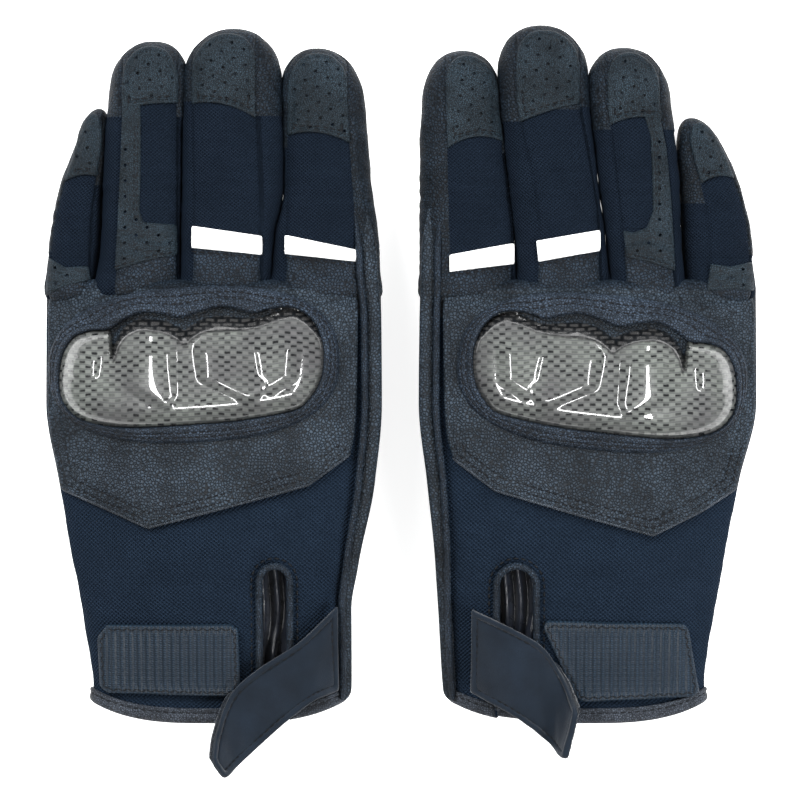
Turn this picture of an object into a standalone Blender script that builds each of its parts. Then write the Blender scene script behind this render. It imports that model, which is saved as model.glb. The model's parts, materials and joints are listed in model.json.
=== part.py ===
"""A pair of short riding gloves, lying palm down with their thumbs folded under the palms.

Frame: +X to the right, +Y towards the fingertips, +Z up. The origin is the middle of the pair on the
surface that it lies on. Lengths in this script are millimetres, and MM turns them into metres.

Each glove is built from sheets of leather and cloth with a real wall. A finger has two segments, each
with a back panel and a channel that holds the palm side and both side walls. The channels are mitred
below each finger joint, which is the room that the cloth has for its fold.
"""

import math

import bmesh
import bpy
from mathutils import Matrix, Vector

MM = 0.001
ORIGIN = Vector((0.85, 0.42, -0.23))   # moves the design so that its box is centred and stands on z = 0

WALL = 1.5            # leather or cloth of a shell
GAP = 0.5             # room between neighbouring pieces
SEAM_ROOM = 1.0       # room along the sides of a back panel
KNUCKLE_Y = 40.0      # the line where the fingers leave the hand
SHELL_END_Y = -104.5  # where the shells end inside the cuff binding
CUFF_Y = -110.0       # the lower edge of the binding
FLEX = math.radians(75)          # how far each finger joint bends
MITRE = math.tan(FLEX / 2)       # slope of each side of a crease
HAND_POWER = 2.6                 # roundness of the hand's section: 2 is an ellipse
FINGER_POWER = 2.4
FLAT = 0.96                      # the hand's section is cut off flat at this share of its depth
TUCK = 6.0                       # half the height of the folded thumb
TIP_Z = 7.0                      # height of a fingertip's middle

# Across a section, an angle of 90 degrees is the top. The back shell and the palm shell share it out.
BACK_ARC = (41, 154)
PALM_ARC = (157.5, 397.5)
FINGER_BACK_ARC = (46, 134)
FINGER_PALM_ARC = (140, 400)
THUMB_PALM_ARC = (31, 149)
THUMB_BACK_ARC = (159, 381)

# Height of the hand's middle and half its thickness, down the hand: (y, thumb side, little-finger side, half)
HEIGHTS = [
    (42, 21.8, 15.0, 9.6),
    (20, 24.0, 16.5, 10.6),
    (0, 25.6, 18.0, 11.2),
    (-27, 25.9, 18.0, 11.2),
    (-48, 25.2, 17.5, 11.3),
    (-66, 21.2, 16.5, 11.6),
    (-84, 16.6, 14.8, 11.8),
    (-103, 11.94, 11.94, 11.4),
    (-110, 11.94, 11.94, 11.4),
]

# Each outline row: (y, x of the thumb side, x of the little-finger side).
# Each finger: x at the knuckle, x halfway and (x, y) of its tip; half widths there; half height; middle joint.
GLOVES = {
    "left": {
        "thumb_side": 1,
        "outline": [(42, -6.8, -122.4), (0, -6.7, -122.4), (-27, -9.2, -118.0), (-55, -16.4, -112.9),
                    (-72, -19.6, -110.2), (-96, -19.6, -105.9), (-110, -20.6, -105.6)],
        "fingers": {
            "index": (-24.8, -26.2, (-29.7, 121.6), (16.6, 14.6), 8.9, 72.0),
            "middle": (-59.4, -58.7, (-58.0, 128.6), (15.4, 15.2), 9.0, 76.0),
            "ring": (-88.7, -88.4, (-86.0, 123.6), (12.9, 12.2), 9.0, 74.0),
            "little": (-112.9, -111.2, (-106.2, 101.0), (9.2, 7.4), 8.6, 64.0),
        },
        "v_edge": [(-119.0, -28.5), (-86.9, -43.0), (-32.8, -28.5), (-17.0, -16.0)],
        "guard": (-71.6, 12.2, 3.0),
        "slit": (-43.3, 9.5),
        "patch": (-97.5, -55.5, -77.5, -99.3),
        "strap_root": (-24.0, -69.0, -98.6),
        "strap": [(-34.8, -82.3, -30.2, -103.0, 4.0), (-49.3, -91.9, -39.5, -110.0, 4.2),
                  (-58.3, -100.2, -48.4, -118.0, 5.0), (-63.0, -112.6, -55.4, -124.4, 9.5),
                  (-64.6, -123.0, -60.0, -129.4, 15.0)],
        "thumb": (-17.6, -33.0),
    },
    "right": {
        "thumb_side": -1,
        "outline": [(42, 6.4, 122.2), (0, 6.0, 122.6), (-27, 9.4, 116.4), (-55, 14.1, 111.2),
                    (-72, 15.8, 108.0), (-96, 17.2, 104.3), (-110, 18.8, 103.8)],
        "fingers": {
            "index": (23.2, 21.7, (20.6, 121.0), (16.6, 14.8), 8.9, 72.0),
            "middle": (57.0, 53.4, (49.6, 130.0), (15.0, 14.8), 9.0, 76.0),
            "ring": (86.4, 82.2, (77.6, 121.6), (13.0, 12.6), 9.0, 73.0),
            "little": (111.8, 108.2, (101.8, 98.0), (9.6, 8.2), 8.6, 62.0),
        },
        "v_edge": [(17.2, -19.6), (33.1, -30.5), (85.7, -45.2), (118.0, -29.0)],
        "guard": (70.4, 10.0, -4.0),
        "slit": (40.0, 12.0),
        "patch": (50.0, 95.0, -76.0, -101.5),
        "strap_root": (25.5, -70.2, -99.0),
        "strap": [(38.3, -77.8, 38.0, -107.5, 4.0), (48.6, -84.0, 45.6, -112.6, 4.2),
                  (54.6, -92.6, 50.6, -117.0, 5.4), (58.0, -101.0, 53.6, -120.6, 11.0),
                  (59.6, -106.0, 55.6, -122.6, 17.0)],
        "thumb": (17.6, -33.0),
    },
}
GUARD_HALF_LENGTH = 44.5
GUARD_HALF_WIDTH = 20.5
GUARD_POWER = 2.9
GUARD_CROWN = 6.5
KNUCKLE_BUMPS = (-0.72, -0.26, 0.22, 0.66)   # where the four knuckles of the guard stand, along its length
THUMB_DIRECTION = (0.94, 0.34)               # across the palm and towards the fingers
THUMB_LENGTH = 60.0
STRAP_THICKNESS = 2.0
ROOT_LIFT = 5.2       # height of the strap's sewn edge above the back, which clears the welt as it peels


# ---------------------------------------------------------------- small tools

def mix(a, b, t):
    return a + (b - a) * t


def smooth(t):
    """0 to 1 with level ends."""
    t = min(max(t, 0.0), 1.0)
    return t * t * (3 - 2 * t)


def along(rows, y):
    """The values of a table of rows (y, ...), read at y on straight lines, for y going down."""
    for above, below in zip(rows, rows[1:]):
        if y >= below[0] or below is rows[-1]:
            t = min(max((above[0] - y) / (above[0] - below[0]), 0.0), 1.0)
            return [mix(a, b, t) for a, b in zip(above[1:], below[1:])]


def superellipse(angle, half_width, half_height, power):
    c, s = math.cos(math.radians(angle)), math.sin(math.radians(angle))
    return (math.copysign(abs(c) ** (2 / power), c) * half_width,
            math.copysign(abs(s) ** (2 / power), s) * half_height)


def narrowed(arc, half_width):
    """The arc less a seam's room at each end, which is a larger angle where the section is small."""
    room = math.degrees(SEAM_ROOM / half_width)
    return arc[0] + room, arc[1] - room


def spread(first, last, count):
    return [mix(first, last, i / (count - 1)) for i in range(count)]


def material(name, colour, roughness, metallic=0.0):
    found = bpy.data.materials.get(name)
    if found:
        return found
    made = bpy.data.materials.new(name)
    made.use_nodes = True
    shader = made.node_tree.nodes["Principled BSDF"]
    shader.inputs["Base Color"].default_value = (*colour, 1)
    shader.inputs["Roughness"].default_value = roughness
    shader.inputs["Metallic"].default_value = metallic
    return made


def add_object(name, bm, finish, flip=False):
    """Links the mesh as an object, in metres and in the part's frame."""
    bmesh.ops.remove_doubles(bm, verts=bm.verts, dist=0.01)
    if flip:
        bmesh.ops.reverse_faces(bm, faces=bm.faces)
    bmesh.ops.transform(bm, matrix=Matrix.Scale(MM, 4) @ Matrix.Translation(ORIGIN), verts=bm.verts)
    mesh = bpy.data.meshes.new(name)
    bm.to_mesh(mesh)
    bm.free()
    mesh.materials.append(finish)
    mesh.shade_smooth()
    mesh.set_sharp_from_angle(angle=math.radians(40))
    made = bpy.data.objects.new(name, mesh)
    bpy.context.scene.collection.objects.link(made)
    return made


def sheet(name, rows, thickness, finish, outwards, end_fan=False):
    """A grid of points made a sheet, and given its wall on the side away from the direction outwards."""
    bm = bmesh.new()
    grid = [[bm.verts.new(p) for p in row] for row in rows]
    for above, below in zip(grid, grid[1:]):
        for i in range(len(above) - 1):
            bm.faces.new((above[i], above[i + 1], below[i + 1], below[i]))
    if end_fan:
        last = grid[-1]
        middle = bm.verts.new(sum((v.co for v in last), Vector()) / len(last))
        for a, b in zip(last, last[1:] + last[:1]):
            bm.faces.new((a, b, middle))
    bm.normal_update()
    sample = bm.faces[:][len(bm.faces) // 2]
    flip = sample.normal.dot(outwards(sample.calc_center_median())) < 0
    made = add_object(name, bm, finish, flip)
    wall = made.modifiers.new("wall", "SOLIDIFY")
    wall.thickness = thickness * MM
    wall.offset = -1
    return made


def prism(outline, low, high):
    """A closed outline of (x, y) points, made a cutter that stands from low to high."""
    bm = bmesh.new()
    face = bm.faces.new([bm.verts.new((x, y, low)) for x, y in outline])
    grown = bmesh.ops.extrude_face_region(bm, geom=[face])
    bmesh.ops.translate(bm, vec=(0, 0, high - low), verts=[v for v in grown["geom"] if isinstance(v, bmesh.types.BMVert)])
    bmesh.ops.recalc_face_normals(bm, faces=bm.faces)
    cutter = add_object("cutter", bm, material("cutter", (0.5, 0.5, 0.5), 0.5))
    cutter.hide_render = True
    cutter.display_type = "WIRE"
    return cutter


def cut(target, cutter):
    boolean = target.modifiers.new("cut", "BOOLEAN")
    boolean.operation = "DIFFERENCE"
    boolean.object = cutter


# ---------------------------------------------------------------- the hand's form

def section(glove, y):
    """(middle x, half width, thumb-side height, other side's height, half thickness) at y."""
    thumb_x, little_x = along(glove["outline"], y)
    high, low, half = along(HEIGHTS, y)
    return (thumb_x + little_x) / 2, abs(thumb_x - little_x) / 2, high, low, half


def mid_height(across, high, low):
    """Height of the hand's middle: level on the thumb side, falling towards the little finger."""
    return mix(high, low, smooth((-0.2 - across) / 0.8))


def hand_point(glove, angle, y, lift=0.0):
    """A point of the hand's section at that angle, lifted off its surface."""
    middle, half_width, high, low, half = section(glove, y)
    x, z = superellipse(angle, half_width + lift, half + lift, HAND_POWER)
    z = max(z, -FLAT * (half + lift))
    across = min(max(x / half_width, -1), 1)
    return Vector((middle + glove["thumb_side"] * x, y, mid_height(across, high, low) + z))


def back_height(glove, x, y):
    middle, half_width, high, low, half = section(glove, y)
    across = min(max((x - middle) / half_width * glove["thumb_side"], -0.985), 0.985)
    rise = (1 - abs(across) ** HAND_POWER) ** (1 / HAND_POWER)
    return mid_height(across, high, low) + half * rise


def on_back(glove, x, y, lift):
    """The point above the back of the hand at (x, y), lifted along the surface's normal."""
    e = 0.5
    slope_x = (back_height(glove, x + e, y) - back_height(glove, x - e, y)) / (2 * e)
    slope_y = (back_height(glove, x, y + e) - back_height(glove, x, y - e)) / (2 * e)
    normal = Vector((-slope_x, -slope_y, 1)).normalized()
    return Vector((x, y, back_height(glove, x, y))) + normal * lift


def crease_y(point, y, middle_z, way):
    """Where a shell ends at a finger joint: square above the joint's axis, mitred below it."""
    return y + way * (GAP + max(0.0, middle_z - point.z) * MITRE)


# ---------------------------------------------------------------- fingers and thumb

class Finger:
    """One finger's form. Its middle runs through three places, and sinks to rest its tip on the surface."""

    def __init__(self, glove, facts):
        self.knuckle_x, self.halfway_x, self.tip, self.widths, self.half, self.joint_y = facts
        middle, half_width, high, low, _ = section(glove, KNUCKLE_Y)
        across = (self.knuckle_x - middle) / half_width * glove["thumb_side"]
        self.knuckle_z = mid_height(across, high, low)
        self.drop = self.knuckle_z - TIP_Z

    def middle(self, y):
        t = (y - KNUCKLE_Y) / (self.tip[1] - KNUCKLE_Y)
        bow = self.halfway_x - (self.knuckle_x + self.tip[0]) / 2
        x = mix(self.knuckle_x, self.tip[0], t) + 4 * bow * t * (1 - t)
        return x, self.knuckle_z - self.drop * max(t, 0.0) ** 1.25

    def halves(self, y):
        """Half width and half height, rounded off over the last stretch before the tip."""
        reach = self.tip[1] - KNUCKLE_Y
        width = mix(self.widths[0], self.widths[1], min((y - KNUCKLE_Y) / (reach / 2), 1.0))
        start = self.tip[1] - 15.5
        t = max(y - start, 0.0) / (self.tip[1] - start)
        rounding = math.sqrt(max(1 - t ** 2.3, 0.0))
        return width * max(rounding, 0.3), self.half * max(rounding, 0.3) ** 0.8

    def point(self, angle, y):
        x, z = self.middle(y)
        half_width, half_height = self.halves(y)
        dx, dz = superellipse(angle, half_width, half_height, FINGER_POWER)
        return Vector((x + dx, y, z + dz))


def finger_rows(finger, arc, count, stations, start_crease=None, end_crease=None):
    """Rows of a finger's panel at the stations, with its first and last row mitred at a joint."""
    rows = []
    for number, y in enumerate(stations):
        row_arc = narrowed(arc, finger.halves(y)[0]) if arc is FINGER_BACK_ARC else arc
        row = [finger.point(a, y) for a in spread(*row_arc, count)]
        if number == 0 and start_crease is not None:
            for p in row:
                p.y = crease_y(p, start_crease, finger.middle(start_crease)[1], 1)
        if y == stations[-1] and end_crease is not None:
            for p in row:
                p.y = crease_y(p, end_crease, finger.middle(end_crease)[1], -1)
        rows.append(row)
    return rows


def build_finger(prefix, glove, facts, mesh_cloth, cap_leather, palm_leather):
    finger = Finger(glove, facts)
    joint, tip = finger.joint_y, finger.tip[1]

    def from_axis(p):
        x, z = finger.middle(min(p.y, tip) - 1.0)
        return Vector((p.x - x, 0, p.z - z))

    base = spread(KNUCKLE_Y, joint, 3)
    top = [joint, mix(joint, tip, 0.35), tip - 13, tip - 7, tip - 3, tip - 0.8]
    rows = finger_rows(finger, FINGER_BACK_ARC, 5, base, KNUCKLE_Y, joint)
    sheet(prefix + "_base_back", rows, WALL, mesh_cloth, from_axis)
    rows = finger_rows(finger, FINGER_PALM_ARC, 9, base, KNUCKLE_Y, joint)
    sheet(prefix + "_base_palm", rows, WALL, palm_leather, from_axis)
    rows = finger_rows(finger, FINGER_BACK_ARC, 5, top[:-2] + [tip - 3.4], joint)
    sheet(prefix + "_tip_cap", rows, WALL, cap_leather, from_axis)
    rows = finger_rows(finger, FINGER_PALM_ARC, 9, top, joint)
    sheet(prefix + "_tip_palm", rows, WALL, palm_leather, from_axis, end_fan=True)


def build_thumb(prefix, glove, cap_leather, palm_leather):
    """The thumb, folded flat under the palm. Its root is open towards the hand's side."""
    root_x, root_y = glove["thumb"]
    side = glove["thumb_side"]
    ahead = Vector((-side * THUMB_DIRECTION[0], THUMB_DIRECTION[1], 0)).normalized()
    across = Vector((-ahead.y, ahead.x, 0))

    def rounding(distance):
        t = max(distance - THUMB_LENGTH + 13, 0.0) / 13
        return max(math.sqrt(max(1 - t ** 2.2, 0.0)), 0.3)

    def half_width(distance):
        return mix(13.5, 11.0, min(distance / 40, 1.0)) * rounding(distance)

    def point(angle, distance):
        dx, dz = superellipse(angle, half_width(distance), TUCK * rounding(distance) ** 0.8, FINGER_POWER)
        return Vector((root_x, root_y, TUCK + 0.4)) + ahead * distance + across * dx + Vector((0, 0, dz))

    def away(p):
        return Vector((0, 0, p.z - TUCK - 0.4))

    stations = [0, 22, THUMB_LENGTH - 13, THUMB_LENGTH - 6, THUMB_LENGTH - 2]
    rows = [[point(a, d) for a in spread(*narrowed(THUMB_PALM_ARC, half_width(d)), 7)] for d in stations]
    sheet(prefix + "_thumb_palm", rows, WALL, palm_leather, away)
    rows = [[point(a, d) for a in spread(*THUMB_BACK_ARC, 8)] for d in stations + [THUMB_LENGTH]]
    sheet(prefix + "_thumb_back", rows, WALL, cap_leather, away, end_fan=True)


# ---------------------------------------------------------------- the hand

HAND_STATIONS = [KNUCKLE_Y, 20, 0, -27, -48, -66, -84, SHELL_END_Y]


def up(_):
    return Vector((0, 0, 1))


def build_shells(prefix, glove, wrist_cloth, palm_leather):
    """The cloth back, which runs under the leather, and the palm with both sides.

    The back is open along the slit, and the palm where the thumb starts.
    """
    shells = []
    for name, arc, count, finish in (("_wrist_mesh", BACK_ARC, 11, wrist_cloth),
                                     ("_palm", PALM_ARC, 15, palm_leather)):
        rows = [[hand_point(glove, a, y) for a in spread(*arc, count)] for y in HAND_STATIONS]
        _, half_width, high, low, _ = section(glove, KNUCKLE_Y)
        middle = section(glove, KNUCKLE_Y)[0]
        for p in rows[0]:
            across = (p.x - middle) / half_width * glove["thumb_side"]
            p.y = crease_y(p, KNUCKLE_Y, mid_height(across, high, low), -1)

        def outwards(p):
            x, _, z_high, _, _ = section(glove, p.y)
            return Vector((p.x - x, 0, 8 * (p.z - z_high)))

        shells.append(sheet(prefix + name, rows, WALL, finish, outwards))
    slit_x, slit_width = glove["slit"]
    top_y, radius = -57.0, slit_width / 2
    outline = [(slit_x + radius * math.cos(a), top_y - radius + radius * math.sin(a))
               for a in spread(0, math.pi, 9)]
    outline += [(slit_x - radius, CUFF_Y - 5), (slit_x + radius, CUFF_Y - 5)]
    cut(shells[0], prism(outline, 18, 60))
    root_x, root_y = glove["thumb"]
    side = glove["thumb_side"]
    hole = [(root_x - side * dx, root_y + dy) for dx, dy in ((2, -11), (16, -11), (16, 11), (2, 11))]
    cut(shells[1], prism(hole, 5, 22))


def guard_outline(glove, grow, count=28):
    """Points of the guard's outline, grown outwards by that much."""
    x0, y0, tilt = glove["guard"]
    turn = Matrix.Rotation(math.radians(tilt), 2)
    points = []
    for i in range(count):
        x, y = superellipse(360 * i / count, GUARD_HALF_LENGTH + grow, GUARD_HALF_WIDTH + grow, GUARD_POWER)
        points.append(Vector((x0, y0)) + turn @ Vector((x, y)))
    return points


def build_back_leather(prefix, glove, leather):
    """The leather over the knuckles, with a V-shaped lower edge and a window for the guard."""
    edge = sorted(glove["v_edge"], key=lambda p: p[0], reverse=glove["thumb_side"] > 0)
    columns = spread(*BACK_ARC, 11)
    rows = [[] for _ in range(9)]
    for angle in columns:
        top = hand_point(glove, angle, KNUCKLE_Y)
        y_low = next((mix(a[1], b[1], (top.x - a[0]) / (b[0] - a[0]))
                      for a, b in zip(edge, edge[1:]) if min(a[0], b[0]) <= top.x <= max(a[0], b[0])),
                     edge[0][1] if abs(top.x - edge[0][0]) < abs(top.x - edge[-1][0]) else edge[-1][1])
        for row, y in zip(rows, spread(KNUCKLE_Y - GAP, y_low, len(rows))):
            row.append(hand_point(glove, angle, y, lift=2.2))
    leather_back = sheet(prefix + "_back_leather", rows, 1.2, leather, up)
    cut(leather_back, prism([tuple(p) for p in guard_outline(glove, 1.5)], 15, 60))


def ring_between(name, glove, inner_grow, outer_grow, low, high, finish):
    """A flat ring of leather that follows the back of the hand between two guard outlines."""
    bm = bmesh.new()
    loops = []
    for grow, lift in ((inner_grow, low), (outer_grow, low), (outer_grow, high * 0.75), (inner_grow, high)):
        loops.append([bm.verts.new(on_back(glove, p.x, p.y, lift)) for p in guard_outline(glove, grow)])
    for one, two in zip(loops, loops[1:] + loops[:1]):
        for i in range(len(one)):
            j = (i + 1) % len(one)
            bm.faces.new((one[i], one[j], two[j], two[i]))
    bmesh.ops.recalc_face_normals(bm, faces=bm.faces)
    add_object(name, bm, finish)


def plate(name, glove, grow, low, high, finish, crown=None):
    """A domed or flat plate with the guard's outline, from nested rings round its middle."""
    bm = bmesh.new()
    x0, y0, tilt = glove["guard"]
    turn = Matrix.Rotation(math.radians(tilt), 2)
    shares = (1.0, 0.82, 0.5)
    layers = []
    for lift in (high, low):
        layer = []
        for share in shares:
            ring = []
            for p in guard_outline(glove, grow):
                x, y = Vector((x0, y0)) + (p - Vector((x0, y0))) * share
                rise = crown(share, (turn.inverted() @ (Vector((x, y)) - Vector((x0, y0))))) if crown else 0
                ring.append(bm.verts.new(on_back(glove, x, y, lift + rise)))
            layer.append(ring)
        rise = crown(0.0, Vector((0, 0))) if crown else 0
        layer.append(bm.verts.new(on_back(glove, x0, y0, lift + rise)))
        layers.append(layer)
    for layer in layers:
        for one, two in zip(layer[:-1], layer[1:-1]):
            for i in range(len(one)):
                j = (i + 1) % len(one)
                bm.faces.new((one[i], one[j], two[j], two[i]))
        inner = layer[-2]
        for i in range(len(inner)):
            bm.faces.new((inner[i], inner[(i + 1) % len(inner)], layer[-1]))
    top, bottom = layers[0][0], layers[1][0]
    for i in range(len(top)):
        j = (i + 1) % len(top)
        bm.faces.new((top[i], top[j], bottom[j], bottom[i]))
    bmesh.ops.recalc_face_normals(bm, faces=bm.faces)
    add_object(name, bm, finish)


def knuckle_crown(share, place):
    """How far the guard stands above its rim: a dome with four knuckles along it."""
    dome = GUARD_CROWN * (1 - share ** 3)
    bumps = sum(math.exp(-((place.x / GUARD_HALF_LENGTH - at) / 0.17) ** 2) for at in KNUCKLE_BUMPS)
    return dome + 1.5 * bumps * (1 - share ** 4)


def build_patch(prefix, glove, finish):
    left, right, top, bottom = glove["patch"]
    rows = [[on_back(glove, x, y, GAP + 1.0) for x in spread(left, right, 6)] for y in spread(top, bottom, 3)]
    sheet(prefix + "_hook_patch", rows, 1.0, finish, up)


def build_gusset(prefix, glove, finish):
    """The lining tongue that shows through the slit, tucked inside the cloth."""
    x, width = glove["slit"]
    rows = [[on_back(glove, x + dx, y, -WALL - GAP) for dx in (-width, 0, width)]
            for y in (-52, -66, -84, SHELL_END_Y)]
    sheet(prefix + "_slit_gusset", rows, 0.8, finish, up)


def build_welt(prefix, glove, finish):
    """The raised seam that runs down the thumb side, from the index finger to the cuff."""
    bm = bmesh.new()
    loops = []
    for y in [KNUCKLE_Y - 1.0] + HAND_STATIONS[1:]:
        middle, half_width, *_ = section(glove, y)
        across = mix(0.84, 0.95, smooth((-20 - y) / 60))
        centre = on_back(glove, middle + glove["thumb_side"] * across * half_width, y, 3.9)
        loops.append([bm.verts.new(centre + Vector((1.5 * math.cos(a), 0, 1.3 * math.sin(a))))
                      for a in spread(0, 2 * math.pi, 9)[:-1]])
    for one, two in zip(loops, loops[1:]):
        for i in range(8):
            bm.faces.new((one[i], one[(i + 1) % 8], two[(i + 1) % 8], two[i]))
    bm.faces.new(loops[0])
    bm.faces.new(loops[-1])
    bmesh.ops.recalc_face_normals(bm, faces=bm.faces)
    add_object(prefix + "_side_welt", bm, finish)


def build_binding(prefix, glove, finish):
    """The leather tape round the cuff's mouth, open where the slit comes through."""
    middle, half_width, *_ = section(glove, CUFF_Y)
    slit_x, slit_width = glove["slit"]
    across = (slit_x - middle) / half_width * glove["thumb_side"]
    open_half = (slit_width / 2 + 0.5) / half_width

    def angle_of(share):
        return math.degrees(math.acos(share ** (HAND_POWER / 2)))

    first, last = angle_of(across - open_half), 360 + angle_of(across + open_half)
    rows = [[hand_point(glove, a, y, lift=0.8) for a in spread(first, last, 25)]
            for y in (SHELL_END_Y - GAP, CUFF_Y)]

    def outwards(p):
        return Vector((p.x - middle, 0, 8 * (p.z - HEIGHTS[-1][1])))

    sheet(prefix + "_cuff_binding", rows, 2.4, finish, outwards)


def strap_stations(glove):
    """(upper edge, lower edge) down the strap: round the hand's side, over the slit, then free."""
    root_x, top_y, bottom_y = glove["strap_root"]
    pairs = [(on_back(glove, root_x, top_y, ROOT_LIFT), on_back(glove, root_x, bottom_y, ROOT_LIFT))]
    for ax, ay, bx, by, lift in glove["strap"]:
        height = max(back_height(glove, ax, max(ay, CUFF_Y)), back_height(glove, bx, max(by, CUFF_Y)))
        pairs.append((Vector((ax, ay, height + lift + 0.6)), Vector((bx, by, height + lift))))
    return pairs


def build_strap(prefix, glove, strap_finish, loop_finish):
    pairs = strap_stations(glove)
    rows = [[mix(a, b, t) for t in (0, 0.5, 1)] for a, b in pairs]
    sheet(prefix + "_strap", rows, STRAP_THICKNESS, strap_finish, up)
    below = []
    for before, (a, b), after in zip(pairs[1:], pairs[2:], pairs[3:] + pairs[-1:]):
        normal = (b - a).cross(after[0] - before[0]).normalized()
        drop = normal * math.copysign(STRAP_THICKNESS + 0.8, -normal.z)
        below.append([mix(a, b, t) + drop for t in (0.08, 0.5, 0.92)])
    below[-1] = [mix(p, q, 0.8) for p, q in zip(below[-2], below[-1])]
    sheet(prefix + "_strap_loop", below, 1.0, loop_finish, up)


def build_glove(side):
    glove = GLOVES[side]
    perforated = material("perforated_leather", (0.035, 0.045, 0.055), 0.55)
    palm_leather = material("palm_leather", (0.03, 0.036, 0.044), 0.55)
    back_leather = material("back_leather", (0.033, 0.042, 0.052), 0.5)
    mesh_cloth = material("finger_mesh", (0.014, 0.02, 0.032), 0.9)
    wrist_cloth = material("wrist_mesh", (0.016, 0.024, 0.038), 0.9)
    for name, facts in glove["fingers"].items():
        build_finger(f"{side}_{name}", glove, facts, mesh_cloth, perforated, palm_leather)
    build_thumb(side, glove, perforated, palm_leather)
    build_shells(side, glove, wrist_cloth, palm_leather)
    build_back_leather(side, glove, back_leather)
    plate(side + "_knuckle_guard", glove, 0.0, 3.8, 5.8, material("carbon", (0.1, 0.11, 0.11), 0.15), knuckle_crown)
    plate(side + "_guard_pad", glove, -1.5, 1.3, 3.1, material("foam", (0.05, 0.05, 0.05), 0.95))
    ring_between(side + "_guard_rim", glove, 0.8, 5.0, 3.1, 5.6, back_leather)
    build_patch(side, glove, material("hook_tape", (0.03, 0.042, 0.055), 0.7))
    build_gusset(side, glove, material("lining", (0.01, 0.012, 0.014), 0.3))
    build_welt(side, glove, palm_leather)
    build_binding(side, glove, material("binding", (0.055, 0.066, 0.078), 0.5))
    build_strap(side, glove, material("strap_suede", (0.026, 0.036, 0.046), 0.85),
                material("loop_pile", (0.02, 0.026, 0.034), 0.95))


def main():
    for old in list(bpy.data.objects):
        bpy.data.objects.remove(old)
    for side in GLOVES:
        build_glove(side)


main()
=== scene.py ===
"""A pair of short riding gloves, lying palm down on a pale floor, shown from straight above.

Lengths are millimetres in the gloves' design frame until a mesh is made. ORIGIN moves that frame onto the
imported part's, and MM turns its lengths into metres.
"""

import json
import math

import bmesh
import bpy
import numpy as np
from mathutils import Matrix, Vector, geometry


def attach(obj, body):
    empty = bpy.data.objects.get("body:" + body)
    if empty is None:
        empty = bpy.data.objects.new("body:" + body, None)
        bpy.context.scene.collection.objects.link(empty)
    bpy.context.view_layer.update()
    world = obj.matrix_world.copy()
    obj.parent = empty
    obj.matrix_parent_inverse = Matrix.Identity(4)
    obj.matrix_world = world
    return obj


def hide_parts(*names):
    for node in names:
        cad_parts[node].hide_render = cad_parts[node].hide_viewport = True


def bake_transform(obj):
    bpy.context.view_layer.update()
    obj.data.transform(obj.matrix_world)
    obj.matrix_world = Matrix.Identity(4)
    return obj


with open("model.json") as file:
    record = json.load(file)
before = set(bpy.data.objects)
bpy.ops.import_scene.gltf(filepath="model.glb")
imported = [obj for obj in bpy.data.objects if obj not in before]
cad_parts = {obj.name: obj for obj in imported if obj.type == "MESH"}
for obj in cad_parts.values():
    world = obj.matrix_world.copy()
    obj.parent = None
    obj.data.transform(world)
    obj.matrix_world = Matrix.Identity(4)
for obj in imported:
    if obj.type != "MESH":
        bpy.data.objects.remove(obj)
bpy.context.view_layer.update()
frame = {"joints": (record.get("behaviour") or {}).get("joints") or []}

MM = 0.001
JOINTS = {joint["name"]: joint for joint in frame["joints"]}
THUMB_ROOT = (-17.6, -33.0, 6.4)      # where the left thumb's hinge is in the design frame
ORIGIN = np.array(JOINTS["left_thumb_fold"]["pos_m"]) / MM - np.array(THUMB_ROOT)

KNUCKLE_Y = 40.0       # where the fingers leave the hand
HAND_POWER = 2.6       # how square the cross sections are: 2 is an ellipse
FINGER_POWER = 2.4
FLAT = 0.96            # the share of its half height at which the hand's underside is cut flat
TIP_Z = 7.0            # the height of a fingertip's middle
TIP_ROUND = 17.5       # the length over which a fingertip rounds off
TIP_POWER = 2.15       # how full that rounding is
ON_FLOOR = 0.1         # the lowest height of the cuff's tape, which the floor presses flat
WALL = 1.3             # the thickness of the hand's shell
CUFF_Y = -110.0        # the last row of the tables below, near the cuff's edge

# y, thumb side's height, little-finger side's height, half thickness
HEIGHTS = [(42, 21.8, 15.0, 9.6), (20, 24.0, 16.5, 10.6), (0, 25.6, 18.0, 11.2), (-27, 25.9, 18.0, 11.2),
           (-48, 25.2, 17.5, 11.3), (-66, 21.2, 16.5, 11.6), (-84, 16.6, 14.8, 11.8),
           (-103, 11.94, 11.94, 11.4), (-110, 11.94, 11.94, 11.4)]

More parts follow.
